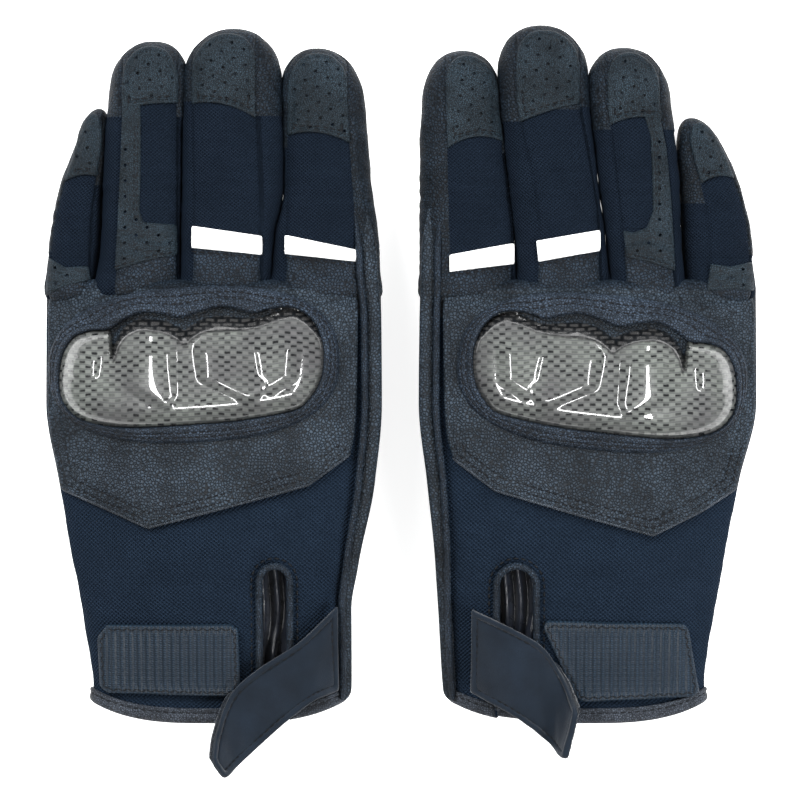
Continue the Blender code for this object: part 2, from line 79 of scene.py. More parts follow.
# Each finger's rows: y, and x of its left and right side. The last row is the tip, before it is rounded off.
# "panel" is the same for the back panel between the side strips. "cap" is y of the cap's lower seam at its left
# and its right, and how far it arches up between them. "leather" is where the left and the right side strip
# turn from cloth to leather, "knit" where the back panel turns from leather to cloth.
GLOVES = {
    "left": {
        "thumb_side": 1,
        "outline": [(42, -6.8, -123.0), (0, -6.5, -123.0), (-27, -9.2, -118.6), (-55, -16.4, -113.5),
                    (-72, -19.6, -110.8), (-96, -19.6, -107.0), (-110, -20.6, -106.6)],
        "fingers": {
            "index": {"rows": [(40, -45.2, -7.2), (58, -43.8, -8.0), (75, -40.6, -10.4), (91, -40.7, -11.7),
                               (104, -41.2, -12.8), (123.2, -43.3, -15.0)],
                      "panel": [(40, -40.0, -15.0), (58, -39.7, -15.5), (104, -39.2, -18.6)],
                      "half": 8.9, "joint": 72.0, "seam": 53.5, "cap": (92.4, 89.6, 2.2),
                      "leather": (88.0, 20.0), "knit": 53.0},
            "middle": {"rows": [(40, -76.2, -45.0), (58, -76.2, -43.6), (75, -75.9, -40.4), (91, -75.9, -40.4),
                                (104, -75.9, -41.3), (130.0, -74.2, -42.2)],
                       "panel": [(40, -72.0, -48.2), (58, -71.8, -48.3), (104, -72.4, -50.4)],
                       "half": 9.0, "joint": 76.0, "seam": 56.0, "cap": (103.3, 98.2, 2.3),
                       "leather": (103.3, 98.5), "knit": 56.0},
            "ring": {"rows": [(40, -105.9, -76.0), (58, -103.6, -76.0), (75, -103.2, -75.7), (91, -102.8, -75.7),
                              (104, -101.4, -74.9), (125.6, -100.2, -71.8)],
                     "panel": [(40, -98.6, -77.2), (58, -97.8, -77.2), (104, -96.6, -77.3)],
                     "half": 9.0, "joint": 74.0, "seam": 61.0, "cap": (101.5, 103.6, 0.6),
                     "leather": (98.5, 98.0), "knit": 55.0},
            "little": {"rows": [(40, -123.2, -105.7), (58, -121.4, -103.4), (75, -118.2, -103.0),
                                (91, -112.8, -101.6), (102.2, -111.4, -98.6)],
                       "panel": [(40, -122.0, -107.8), (58, -120.6, -107.4), (91, -112.4, -103.4)],
                       "half": 8.6, "joint": 64.0, "seam": 50.0, "cap": (76.6, 78.2, 1.2),
                       "leather": (52.0, 74.2), "knit": 44.0},
        },
    },
    "right": {
        "thumb_side": -1,
        "outline": [(42, 6.4, 123.2), (0, 6.0, 123.2), (-27, 9.2, 117.2), (-55, 13.6, 111.8),
                    (-72, 15.3, 108.8), (-96, 16.8, 105.4), (-110, 18.2, 104.8)],
        "fingers": {
            "index": {"rows": [(40, 6.6, 40.2), (58, 6.6, 39.2), (75, 6.8, 37.4), (91, 6.7, 35.7),
                               (104, 7.6, 34.7), (122.4, 8.1, 34.7)],
                      "panel": [(40, 17.0, 38.4), (58, 16.6, 38.4), (104, 15.5, 33.6)],
                      "half": 8.9, "joint": 72.0, "seam": 51.5, "cap": (87.8, 90.2, 2.8),
                      "leather": (20.0, 86.0), "knit": 50.0},
            "middle": {"rows": [(40, 40.0, 72.6), (58, 39.0, 70.6), (75, 37.2, 68.4), (91, 35.5, 66.8),
                                (104, 34.3, 65.4), (131.2, 33.0, 64.0)],
                       "panel": [(40, 47.2, 68.8), (58, 47.2, 68.5), (104, 39.9, 61.8)],
                       "half": 9.0, "joint": 76.0, "seam": 55.0, "cap": (97.0, 103.4, 0.6),
                       "leather": (96.6, 101.6), "knit": 54.0},
            "ring": {"rows": [(40, 72.4, 98.2), (58, 70.6, 96.9), (75, 68.4, 96.5), (91, 66.6, 95.1),
                              (104, 65.2, 93.5), (123.4, 63.0, 91.8)],
                     "panel": [(40, 77.6, 94.2), (58, 76.2, 93.7), (104, 71.4, 89.6)],
                     "half": 9.0, "joint": 73.0, "seam": 60.0, "cap": (96.0, 97.6, 1.8),
                     "leather": (94.1, 94.1), "knit": 53.0},
            "little": {"rows": [(40, 98.0, 122.4), (58, 96.9, 121.2), (75, 96.4, 117.4), (91, 94.8, 111.6),
                                (99.0, 92.4, 109.6)],
                       "panel": [(40, 106.6, 121.0), (58, 106.4, 120.2), (91, 99.8, 111.0)],
                       "half": 8.6, "joint": 62.0, "seam": 50.0, "cap": (75.6, 77.6, 1.6),
                       "leather": (68.8, 50.0), "knit": 44.0},
        },
    },
}


# ---------------------------------------------------------------- curves

class Curve:
    """Smooth values through a table's rows. It never overshoots a row."""

    def __init__(self, keys, values):
        keys, values = np.array(keys, float), np.array(values, float).reshape(len(keys), -1)
        order = np.argsort(keys)
        self.keys, self.values = keys[order], values[order]
        slopes = np.diff(self.values, axis=0) / np.diff(self.keys)[:, None]
        before, after = slopes[:-1], slopes[1:]
        both = before + after
        inner = np.where(before * after > 0, 2 * before * after / np.where(both == 0, 1, both), 0)
        self.tangents = np.vstack([slopes[:1], inner, slopes[-1:]])

    def __call__(self, at):
        at = np.clip(np.asarray(at, float), self.keys[0], self.keys[-1])
        i = np.clip(np.searchsorted(self.keys, at) - 1, 0, len(self.keys) - 2)
        step = (self.keys[i + 1] - self.keys[i])[..., None]
        t = (at - self.keys[i])[..., None] / step
        return ((2 * t**3 - 3 * t**2 + 1) * self.values[i] + (t**3 - 2 * t**2 + t) * step * self.tangents[i]
                + (3 * t**2 - 2 * t**3) * self.values[i + 1] + (t**3 - t**2) * step * self.tangents[i + 1])


def smooth(t):
    t = np.clip(t, 0, 1)
    return t * t * (3 - 2 * t)


def mix(a, b, t):
    return a + (b - a) * t


def through(points, closed=False, parts=12):
    """A smooth line through the points, with that many steps between each two."""
    p = np.array(points, float)
    n = len(p)
    if closed:
        get = lambda i: p[i % n]
        spans = range(n)
    else:
        get = lambda i: 2 * p[0] - p[1] if i < 0 else 2 * p[-1] - p[-2] if i >= n else p[i]
        spans = range(n - 1)
    out = []
    for i in spans:
        a, b, c, d = get(i - 1), get(i), get(i + 1), get(i + 2)
        for t in np.arange(parts) / parts:
            out.append(0.5 * (2 * b + (c - a) * t + (2 * a - 5 * b + 4 * c - d) * t * t
                              + (3 * b - a - 3 * c + d) * t**3))
    if not closed:
        out.append(p[-1])
    return np.array(out)


def reach_of(path):
    """How far along the path each of its points is."""
    return np.concatenate([[0], np.cumsum(np.linalg.norm(np.diff(path, axis=0), axis=1))])


def resample(points, step, closed=False):
    """The same line with its points an even step apart."""
    p = np.array(points, float)
    if closed:
        p = np.vstack([p, p[:1]])
    reach = reach_of(p)
    count = max(int(round(reach[-1] / step)), 3)
    at = np.linspace(0, reach[-1], count + 1)
    out = np.stack([np.interp(at, reach, p[:, k]) for k in range(p.shape[1])], axis=1)
    return out[:-1] if closed else out


def turned(points, centre, degrees):
    """The points turned about the centre, anticlockwise."""
    a = math.radians(degrees)
    p = np.array(points, float) - centre
    return np.stack([p[:, 0] * math.cos(a) - p[:, 1] * math.sin(a),
                     p[:, 0] * math.sin(a) + p[:, 1] * math.cos(a)], axis=1) + centre


def signed_power(value, power):
    return np.sign(value) * np.abs(value) ** power


def oval(angle, half_width, half_height, power):
    """Points on a squared ellipse."""
    c, s = np.cos(np.radians(angle)), np.sin(np.radians(angle))
    return signed_power(c, 2 / power) * half_width, signed_power(s, 2 / power) * half_height


def angle_at(share, power):
    """The angle on the upper half of an oval at that share of its half width."""
    return np.degrees(np.arccos(signed_power(np.asarray(share, float), power / 2)))


def ripple(x, y, seed, sizes=((9.0, 1.0), (4.3, 0.5), (2.1, 0.25))):
    """Gentle uneven waves, about -1 to 1, the same each run."""
    rng = np.random.default_rng(seed)
    total = 0.0
    for size, weight in sizes:
        for _ in range(3):
            a, phase = rng.uniform(0, 2 * math.pi, 2)
            along = x * math.cos(a) + y * math.sin(a)
            total = total + weight / 3 * np.sin(along * 2 * math.pi / size + phase)
    return total


# ---------------------------------------------------------------- the gloves' form

def lean(high, low, across):
    """The middle height: level from the thumb side, then falling towards the little finger."""
    return mix(high, low, smooth((-0.2 - across) / 0.8))


class Hand:
    """The form of one hand, from the knuckles to the cuff."""

    def __init__(self, side):
        glove = GLOVES[side]
        self.side, self.way = side, glove["thumb_side"]
        self.edge = Curve([r[0] for r in glove["outline"]], [r[1:] for r in glove["outline"]])
        self.form = Curve([r[0] for r in HEIGHTS], [r[1:] for r in HEIGHTS])

    def section(self, y):
        """x of the middle, half the width, the two middle heights and half the height."""
        edge, form = self.edge(y), self.form(y)
        thumb_x, little_x = edge[..., 0], edge[..., 1]
        return (thumb_x + little_x) / 2, np.abs(thumb_x - little_x) / 2, *np.moveaxis(form, -1, 0)

    def point(self, angle, y, lift=0.0):
        """A point round the hand, from 0 at the thumb side to 90 on its back."""
        angle, y, lift = np.broadcast_arrays(*(np.asarray(q, float) for q in (angle, y, lift)))
        middle, half_width, high, low, half = self.section(y)
        x, z = oval(angle, half_width + lift, half + lift, HAND_POWER)
        z = np.maximum(z, -FLAT * (half + lift))
        across = np.clip(x / half_width, -1, 1)
        return np.stack([middle + self.way * x, y, lean(high, low, across) + z], axis=-1)

    def height(self, x, y):
        middle, half_width, high, low, half = self.section(y)
        across = np.clip((x - middle) / half_width * self.way, -0.985, 0.985)
        return lean(high, low, across) + half * (1 - np.abs(across) ** HAND_POWER) ** (1 / HAND_POWER)

    def top(self, x, y, lift=0.0):
        """Points above the back of the hand, lifted along its normal."""
        x, y = np.asarray(x, float), np.asarray(y, float)
        e = 0.5
        slope_x = (self.height(x + e, y) - self.height(x - e, y)) / (2 * e)
        slope_y = (self.height(x, y + e) - self.height(x, y - e)) / (2 * e)
        normal = np.stack([-slope_x, -slope_y, np.ones_like(slope_x)], axis=-1)
        normal /= np.linalg.norm(normal, axis=-1, keepdims=True)
        return np.stack([x, y, self.height(x, y)], axis=-1) + normal * np.asarray(lift)[..., None]


class Finger:
    """One finger's form. It sinks along its length until its tip rests on the floor."""

    def __init__(self, hand, name):
        facts = GLOVES[hand.side]["fingers"][name]
        self.hand, self.name, self.side = hand, name, hand.side
        self.sides = Curve([r[0] for r in facts["rows"]], [r[1:] for r in facts["rows"]])
        self.panel = Curve([r[0] for r in facts["panel"]], [r[1:] for r in facts["panel"]])
        self.end = facts["rows"][-1][0]
        self.half, self.joint_y, self.seam_y = facts["half"], facts["joint"], facts["seam"]
        self.cap_seam, self.leather_from, self.knit_from = facts["cap"], facts["leather"], facts["knit"]
        middle, half_width, high, low, _ = hand.section(KNUCKLE_Y)
        across = (self.sides(KNUCKLE_Y).mean() - middle) / half_width * hand.way
        self.knuckle_z = float(lean(high, low, across))

    def middle(self, y):
        """x and height of its middle line."""
        t = (np.asarray(y, float) - KNUCKLE_Y) / (self.end - KNUCKLE_Y)
        fall = (self.knuckle_z - TIP_Z) * np.maximum(t, 0.0) ** 1.25
        return self.sides(y).mean(axis=-1), self.knuckle_z - fall

    def into_tip(self, y):
        """How far y is into the rounded tip, from 0 to 1."""
        return np.clip((y - self.end + TIP_ROUND) / TIP_ROUND, 0, 1)

    def halves(self, y):
        """Half its width and half its height."""
        y = np.asarray(y, float)
        sides = self.sides(y)
        rounding = np.sqrt(np.maximum(1 - self.into_tip(y) ** TIP_POWER, 0.0))
        return (sides[..., 1] - sides[..., 0]) / 2 * rounding, self.half * rounding**0.8

    def point(self, angle, y, lift=0.0):
        """A point round the finger, from 0 on its right to 90 on its back."""
        angle, y, lift = np.broadcast_arrays(*(np.asarray(q, float) for q in (angle, y, lift)))
        x, z = self.middle(y)
        half_width, half_height = self.halves(y)
        dx, dz = oval(angle, half_width + lift, half_height + lift, FINGER_POWER)
        return np.stack([x + dx, y + lift * self.into_tip(y) ** 2, z + dz], axis=-1)

    def top(self, x, y, lift=0.0):
        """Points above the back of the finger, at x as seen from above."""
        half_width = np.maximum(self.halves(y)[0], 0.2)
        share = np.clip((np.asarray(x, float) - self.middle(y)[0]) / half_width, -0.985, 0.985)
        return self.point(angle_at(share, FINGER_POWER), y, lift)

    def limits(self, y):
        """The back panel's left and right edges, as shares of the finger's half width."""
        edges, middle = self.panel(y), self.middle(y)[0]
        half_width = np.maximum(self.halves(y)[0], 0.2)
        return tuple(np.clip((edges[..., k] - middle) / half_width, -0.95, 0.95) for k in (0, 1))


HANDS = {side: Hand(side) for side in GLOVES}
FINGERS = {(side, name): Finger(HANDS[side], name)
           for side in GLOVES for name in GLOVES[side]["fingers"]}


# ---------------------------------------------------------------- meshes

def to_world(points):
    return (np.asarray(points, float) + ORIGIN) * MM


SHARP = math.radians(55)      # edges that turn by more than this stay sharp


def mesh_piece(name, points, faces, uvs, materials, indices=None, turn_outwards=True):
    """A mesh object in the part's frame, with its UV map in millimetres."""
    mesh = bpy.data.meshes.new(name)
    mesh.from_pydata(to_world(points).tolist(), [], [list(map(int, f)) for f in faces])
    uv = mesh.uv_layers.new(name="UVMap")
    which = np.zeros(len(mesh.loops), np.int32)
    mesh.loops.foreach_get("vertex_index", which)
    uv.data.foreach_set("uv", np.asarray(uvs, np.float32)[which].ravel())
    for finish in materials:
        mesh.materials.append(finish)
    if indices is not None:
        mesh.polygons.foreach_set("material_index", np.asarray(indices, np.int32))
    made = bpy.data.objects.new(name, mesh)
    bpy.context.scene.collection.objects.link(made)
    if turn_outwards:
        bm = bmesh.new()
        bm.from_mesh(mesh)
        bmesh.ops.recalc_face_normals(bm, faces=bm.faces)
        bm.to_mesh(mesh)
        bm.free()
    mesh.shade_smooth()
    mesh.set_sharp_from_angle(angle=SHARP)
    return made


def apply_all(obj):
    """Apply every modifier on the piece."""
    bpy.ops.object.select_all(action="DESELECT")
    bpy.context.view_layer.objects.active = obj
    obj.select_set(True)
    for modifier in list(obj.modifiers):
        bpy.ops.object.modifier_apply(modifier=modifier.name)


def thicken(piece, thickness, offset):
    """Give an open sheet that thickness, inwards with an offset of -1 and both ways with 0."""
    wall = piece.modifiers.new("wall", "SOLIDIFY")
    wall.thickness, wall.offset = thickness * MM, offset
    apply_all(piece)


def loft(name, rings, uvs, materials, indices=None, start="cap", end="cap", around=True):
    """Rings of points joined into a tube. Its ends are closed by a fan, or left open."""
    rings, uvs = np.asarray(rings, float), np.asarray(uvs, float)
    rows, count = rings.shape[:2]
    points, coords = list(rings.reshape(-1, 3)), list(uvs.reshape(-1, 2))
    faces, finish = [], []
    spans = count if around else count - 1
    for r in range(rows - 1):
        for i in range(spans):
            j = (i + 1) % count
            faces.append((r * count + i, r * count + j, (r + 1) * count + j, (r + 1) * count + i))
            finish.append(int(indices[r][i]) if indices is not None else 0)
    for which, row in ((start, 0), (end, rows - 1)):
        if which != "cap":
            continue
        middle = len(points)
        points.append(rings[row].mean(axis=0))
        coords.append(uvs[row].mean(axis=0))
        for i in range(count):
            faces.append((row * count + i, row * count + (i + 1) % count, middle))
            finish.append(int(indices[min(row, rows - 2)][i]) if indices is not None else 0)
    return mesh_piece(name, points, faces, coords, materials, finish)


def tube(name, path, radius, material, sides=10, flat=1.0, taper=0):
    """A round or flattened cord along a path, with rounded ends. Its first rows may taper."""
    path = np.asarray(path, float)
    tangent = np.gradient(path, axis=0)
    tangent /= np.linalg.norm(tangent, axis=1, keepdims=True)
    side = np.cross(tangent, [0, 0, 1.0])
    side /= np.maximum(np.linalg.norm(side, axis=1, keepdims=True), 1e-6)
    up = np.cross(side, tangent)
    radii = np.full(len(path), 1.0)
    ends = np.array([0.35, 0.75, 0.95])
    radii[:3], radii[-3:] = ends, ends[::-1]
    if taper:
        radii[:taper] *= mix(0.25, 1.0, smooth(np.arange(taper) / taper))
    radii = radii * radius
    a = np.arange(sides) / sides * 2 * math.pi
    rings = (path[:, None] + side[:, None] * np.cos(a)[None, :, None] * radii[:, None, None]
             + up[:, None] * np.sin(a)[None, :, None] * radii[:, None, None] * flat)
    reach = reach_of(path)
    uvs = np.stack(np.broadcast_arrays((a * radius)[None, :], reach[:, None]), axis=-1)
    return loft(name, rings, uvs, [material])


def inside(points, loop):
    """Which points are inside the closed loop."""
    x, y = points[:, 0][:, None], points[:, 1][:, None]
    a, b = loop, np.roll(loop, -1, axis=0)
    crosses = (a[:, 1] > y) != (b[:, 1] > y)
    rise = np.where(b[:, 1] == a[:, 1], 1e-9, b[:, 1] - a[:, 1])
    at = a[:, 0] + (y - a[:, 1]) * (b[:, 0] - a[:, 0]) / rise
    return (crosses & (x < at)).sum(axis=1) % 2 == 1


AT_ONCE = 2000      # points measured at one time, which keeps the memory small


def distance(points, loop):
    """Each point's distance from the closed loop."""
    best = np.full(len(points), 1e9)
    a, d = loop, np.roll(loop, -1, axis=0) - loop
    for start in range(0, len(points), AT_ONCE):
        p = points[start:start + AT_ONCE, None]
        t = np.clip(((p - a) * d).sum(-1) / np.maximum((d * d).sum(-1), 1e-12), 0, 1)
        best[start:start + AT_ONCE] = np.linalg.norm(p - (a + d * t[..., None]), axis=-1).min(axis=1)
    return best


def nearest(points, others):
    """Each point's distance from the nearest of the others."""
    best = np.full(len(points), 1e9)
    for start in range(0, len(points), AT_ONCE):
        part = points[start:start + AT_ONCE, None]
        best[start:start + AT_ONCE] = np.linalg.norm(part - others, axis=-1).min(axis=1)
    return best


def inset(loop, by):
    """The loop moved inwards, without the points that come too near to another part of it."""
    area = (loop[:, 0] * np.roll(loop[:, 1], -1) - np.roll(loop[:, 0], -1) * loop[:, 1]).sum()
    tangent = np.roll(loop, -1, axis=0) - np.roll(loop, 1, axis=0)
    tangent /= np.maximum(np.linalg.norm(tangent, axis=1, keepdims=True), 1e-9)
    normal = np.stack([-tangent[:, 1], tangent[:, 0]], axis=1) * math.copysign(1, area)
    moved = loop + normal * by
    return moved[(distance(moved, loop) > 0.93 * abs(by)) & inside(moved, loop)]


GROOVE_HALF, GROOVE_DEPTH = 0.55, 0.28      # a seam's groove


def panel(name, outline, place, top, bottom, material, holes=(), step=2.0, roll=0.8, seams=(), bump=None,
          edge_step=1.0):
    """A sewn sheet from bottom to top above the form, a closed mesh.

    Its outline is in the plane of place(u, v, lift), which gives points on the form. The edge rolls over by
    that radius, each seam is a groove that far from the edge, and bump(u, v, depth) adds to the upper face's
    height, where depth is how far inside the edge a point is.
    """
    outline = resample(outline, edge_step, closed=True)
    loops = [outline] + [np.asarray(h, float) for h in holes]
    extra = [inset(outline, roll * share) for share in (0.3, 1.0)] if roll else []
    for seam in seams:
        extra += [inset(outline, seam + by) for by in (-GROOVE_HALF, 0.0, GROOVE_HALF)]
    low, high = outline.min(axis=0), outline.max(axis=0)
    us, vs = np.meshgrid(np.arange(low[0], high[0] + step, step),
                         np.arange(low[1], high[1] + step, step * 0.866))
    us = us + (np.arange(us.shape[0]) % 2)[:, None] * step / 2
    grid = np.stack([us.ravel(), vs.ravel()], axis=1)
    grid = grid[inside(grid, outline)]
    near = distance(grid, outline)
    keep = near > max(0.45 * step, roll + 0.2)
    for seam in seams:
        keep &= np.abs(near - seam) > 0.8
    for hole in loops[1:]:
        keep[inside(grid, hole)] = False
    grid = grid[keep]
    if len(loops) > 1:
        rims = np.vstack(loops[1:])
        grid = grid[nearest(grid, rims) > 0.5]
        extra = [e[nearest(e, rims) >= 0.3] for e in extra]
    flat, edges = [], []
    for loop in loops:
        first = len(flat)
        flat += [tuple(p) for p in loop]
        edges += [(first + i, first + (i + 1) % len(loop)) for i in range(len(loop))]
    for group in extra + [grid]:
        flat += [tuple(p) for p in group]
    found = geometry.delaunay_2d_cdt([Vector(p) for p in flat], edges, [], 0, 1e-4)
    where = np.array([tuple(v) for v in found[0]])
    faces = np.array([f for f in found[2] if len(f) == 3])
    middles = where[faces].mean(axis=1)
    keep = inside(middles, outline)
    for hole in loops[1:]:
        keep &= ~inside(middles, hole)
    faces = faces[keep]
    used = np.unique(faces)
    index = np.full(len(where), -1)
    index[used] = np.arange(len(used))
    where, faces = where[used], index[faces]
    a, b, c = (where[faces[:, k]] for k in range(3))
    area = np.cross(b - a, c - a)
    faces[area < 0] = faces[area < 0][:, ::-1]
    depth = distance(where, outline)
    lift = np.full(len(where), float(top))
    if roll:
        share = np.clip(1 - depth / roll, 0, 1)
        lift -= min(roll, (top - bottom) * 0.8) * (1 - np.sqrt(1 - share**2))
    for seam in seams:
        lift -= GROOVE_DEPTH * np.exp(-((depth - seam) / GROOVE_HALF) ** 2)
    if bump is not None:
        lift = lift + bump(where[:, 0], where[:, 1], depth)
    upper = place(where[:, 0], where[:, 1], lift)
    lower = place(where[:, 0], where[:, 1], np.full(len(where), float(bottom)))
    n = len(where)
    ends = np.concatenate([faces[:, [0, 1]], faces[:, [1, 2]], faces[:, [2, 0]]])
    seen = {(int(a), int(b)) for a, b in ends}
    rim = [(a, b) for a, b in seen if (b, a) not in seen]
    every = [tuple(f) for f in faces] + [tuple(f[::-1] + n) for f in faces]
    every += [(b, a, a + n, b + n) for a, b in rim]
    return mesh_piece(name, np.vstack([upper, lower]), every, np.vstack([where, where]), [material])


def disc(centre, radius, sides=8):
    """A small round hole's outline."""
    a = np.arange(sides) / sides * 2 * math.pi
    return np.stack([centre[0] + radius * np.cos(a), centre[1] + radius * np.sin(a)], axis=1)


# ---------------------------------------------------------------- stitches

THREADS = {}           # stitches waiting to be made, grouped by the body that they move with or the piece that they lie on


PER_STITCH = 8         # steps in a stitch with its gap
END_SINK = 0.15        # how far a stitch's ends sink


def stitches(key, line, place, lift=0.12, length=1.8, gap=0.8, radius=0.3, closed=False, slant=0.0):
    """Stitches along a line in the plane of place(u, v, lift). A slant to alternate sides makes a zigzag."""
    pitch = length + gap
    line = resample(line, pitch / PER_STITCH, closed)
    long = int(round(PER_STITCH * length / pitch))
    for start in range(0, len(line) - long, PER_STITCH):
        part = line[start:start + long + 1]
        if np.linalg.norm(np.diff(part, axis=0), axis=1).max() > pitch / 4:
            continue
        a, b = part[0], part[-1]
        if slant:
            across = np.array([-(b - a)[1], (b - a)[0]]) / np.linalg.norm(b - a)
            sign = 1 if (start // PER_STITCH) % 2 else -1
            a, b = a - across * slant * sign, b + across * slant * sign
        middle = (a + b) / 2
        u, v = np.array([a, middle, b, middle]).T
        first, top, last, over = place(u, v, lift + np.array([-END_SINK, 0.0, -END_SINK, 1.0]))
        THREADS.setdefault(key, []).append((first, top, last, over - top, radius))


def make_stitches(key, name, material):
    """Every stitch of one group as one mesh of small bent grains of thread."""
    rows = THREADS[key]
    a, m, b, n, radius = (np.array([r[k] for r in rows]) for k in range(5))
    n /= np.linalg.norm(n, axis=1, keepdims=True)
    t = b - a
    half = np.linalg.norm(t, axis=1) / 2
    t /= (2 * half)[:, None]
    s = np.cross(t, n)
    s /= np.maximum(np.linalg.norm(s, axis=1, keepdims=True), 1e-9)
    n = np.cross(s, t)
    rings, sides = [(-0.82, 0.62), (-0.4, 0.95), (0.4, 0.95), (0.82, 0.62)], 6
    template, points = [(-1.0, 0.0, 0.0)], []
    for x, r in rings:
        for i in range(sides):
            w = 2 * math.pi * i / sides
            template.append((x, r * math.cos(w), r * math.sin(w)))
    template.append((1.0, 0.0, 0.0))
    template = np.array(template)
    faces = [(0, 1 + (i + 1) % sides, 1 + i) for i in range(sides)]
    for k in range(len(rings) - 1):
        base = 1 + k * sides
        for i in range(sides):
            j = (i + 1) % sides
            faces.append((base + i, base + j, base + sides + j, base + sides + i))
    last = 1 + (len(rings) - 1) * sides
    faces += [(last + i, last + (i + 1) % sides, len(template) - 1) for i in range(sides)]
    bend = 1 - template[:, 0] ** 2
    centre = (a + b) / 2
    rise = ((m - centre) * n).sum(axis=1)
    for k in range(len(rows)):
        points.append(centre[k] + t[k] * (template[:, :1] * half[k]) + s[k] * template[:, 1:2] * radius[k]
                      + n[k] * (template[:, 2:] * radius[k] * 0.75 + (bend * rise[k])[:, None]))
    every = []
    for k in range(len(rows)):
        every += [tuple(i + k * len(template) for i in f) for f in faces]
    points = np.vstack(points)
    turn = np.arctan2(template[:, 2], template[:, 1])
    uvs = np.tile(np.stack([template[:, 0], turn], axis=1), (len(rows), 1))
    return mesh_piece(name, points, every, uvs, [material], turn_outwards=False)


# ---------------------------------------------------------------- materials

TONE = 0.42        # the share of a finish's wanted brightness that its own colour gives under these lights
SHINE = 0.35       # the same for its specular level


def linear(red, green, blue):
    """A surface colour that comes out as these screen values, 0 to 255, under this scene's lights."""
    return tuple(((c / 255 + 0.055) / 1.055) ** 2.4 * TONE for c in (red, green, blue))


class Finish:
    """A material being wired up. Each call adds a node and gives its output."""

    def __init__(self, name, roughness=0.5, **constants):
        self.material = bpy.data.materials.new(name)
        self.material.use_nodes = True
        self.tree = self.material.node_tree
        self.shader = self.tree.nodes["Principled BSDF"]
        self.shader.inputs["Roughness"].default_value = roughness
        for key, value in constants.items():
            if key == "Specular_IOR_Level":
                value = value * SHINE
            self.shader.inputs[key.replace("_", " ")].default_value = value

    def node(self, kind, inputs=(), **settings):
        made = self.tree.nodes.new(kind)
        for key, value in settings.items():
            setattr(made, key, value)
        for key, value in dict(inputs).items():
            if isinstance(value, bpy.types.NodeSocket):
                self.tree.links.new(value, made.inputs[key])
            else:
                made.inputs[key].default_value = value
        return made

    def math(self, operation, *values):
        return self.node("ShaderNodeMath", dict(enumerate(values)), operation=operation).outputs[0]

    def wave(self, value, period):
        """A cosine wave along the value."""
        return self.math("COSINE", self.math("MULTIPLY", value, 2 * math.pi / period))

    def place(self):
        """The point on the object in millimetres."""
        where = self.node("ShaderNodeTexCoord").outputs["Object"]
        return self.node("ShaderNodeVectorMath", {0: where, 1: (1 / MM,) * 3}, operation="MULTIPLY").outputs[0]

    def flat(self):
        """The two coordinates of the UV map, in millimetres."""
        where = self.node("ShaderNodeUVMap", uv_map="UVMap").outputs[0]
        split = self.node("ShaderNodeSeparateXYZ", {0: where})
        return split.outputs[0], split.outputs[1]

    def noise(self, vector, scale, detail=2.0, roughness=0.5):
        return self.node("ShaderNodeTexNoise", {"Vector": vector, "Scale": scale, "Detail": detail,
                                                "Roughness": roughness}).outputs["Fac"]

    def ramp(self, value, low, high, to_low=0.0, to_high=1.0):
        return self.node("ShaderNodeMapRange", {"Value": value, "From Min": low, "From Max": high,
                                                "To Min": to_low, "To Max": to_high}, clamp=True).outputs[0]

    def blend(self, share, one, other):
        """A colour that goes from one to the other as the share goes from 0 to 1."""
        made = self.node("ShaderNodeMix", data_type="RGBA")
        for socket, value in ((made.inputs[0], share), (made.inputs[6], one), (made.inputs[7], other)):
            if isinstance(value, bpy.types.NodeSocket):
                self.tree.links.new(value, socket)
            else:
                socket.default_value = (*value, 1) if isinstance(value, tuple) else value
        return made.outputs[2]

    def varied(self, value, low, high, colour, dark, bright):
        """The colour, times dark where the value is low and times bright where it is high."""
        return self.blend(self.ramp(value, low, high), lighter(colour, dark), lighter(colour, bright))

    def colour(self, value):
        self.tree.links.new(value, self.shader.inputs["Base Color"])

    def roughness(self, value):
        self.tree.links.new(value, self.shader.inputs["Roughness"])

    def bump(self, height, strength=0.5, depth=0.1):
        """Surface relief, with its depth in millimetres."""
        made = self.node("ShaderNodeBump", {"Height": height, "Strength": strength, "Distance": depth * MM})
        self.tree.links.new(made.outputs[0], self.shader.inputs["Normal"])


def lighter(colour, by):
    return tuple(min(c * by, 1.0) for c in colour)


def leather(name, colour, roughness=0.5, grain=1.0, depth=0.16):
    """Grained leather: small rounded cells with creases between them, and slow changes of tone."""
    f = Finish(name, roughness, Specular_IOR_Level=0.28)
    where = f.place()
    cells = f.node("ShaderNodeTexVoronoi", {"Vector": where, "Scale": 0.95 / grain, "Randomness": 0.95},
                   feature="DISTANCE_TO_EDGE").outputs["Distance"]
    fine = f.noise(where, 2.6 / grain, 3.0, 0.6)
    slow = f.noise(where, 0.07, 3.0, 0.55)
    creases = f.ramp(cells, 0.0, 0.30)
    tone = f.math("ADD", f.math("MULTIPLY", slow, 0.65), f.math("MULTIPLY", fine, 0.35))
    f.colour(f.blend(creases, lighter(colour, 0.10), f.varied(tone, 0.36, 0.64, colour, 0.72, 1.9)))
    f.roughness(f.ramp(tone, 0.3, 0.7, roughness + 0.07, roughness - 0.07))
    f.bump(f.math("ADD", f.math("MULTIPLY", creases, 0.8), f.math("MULTIPLY", fine, 0.5)), 0.9, depth * 1.5)
    return f.material


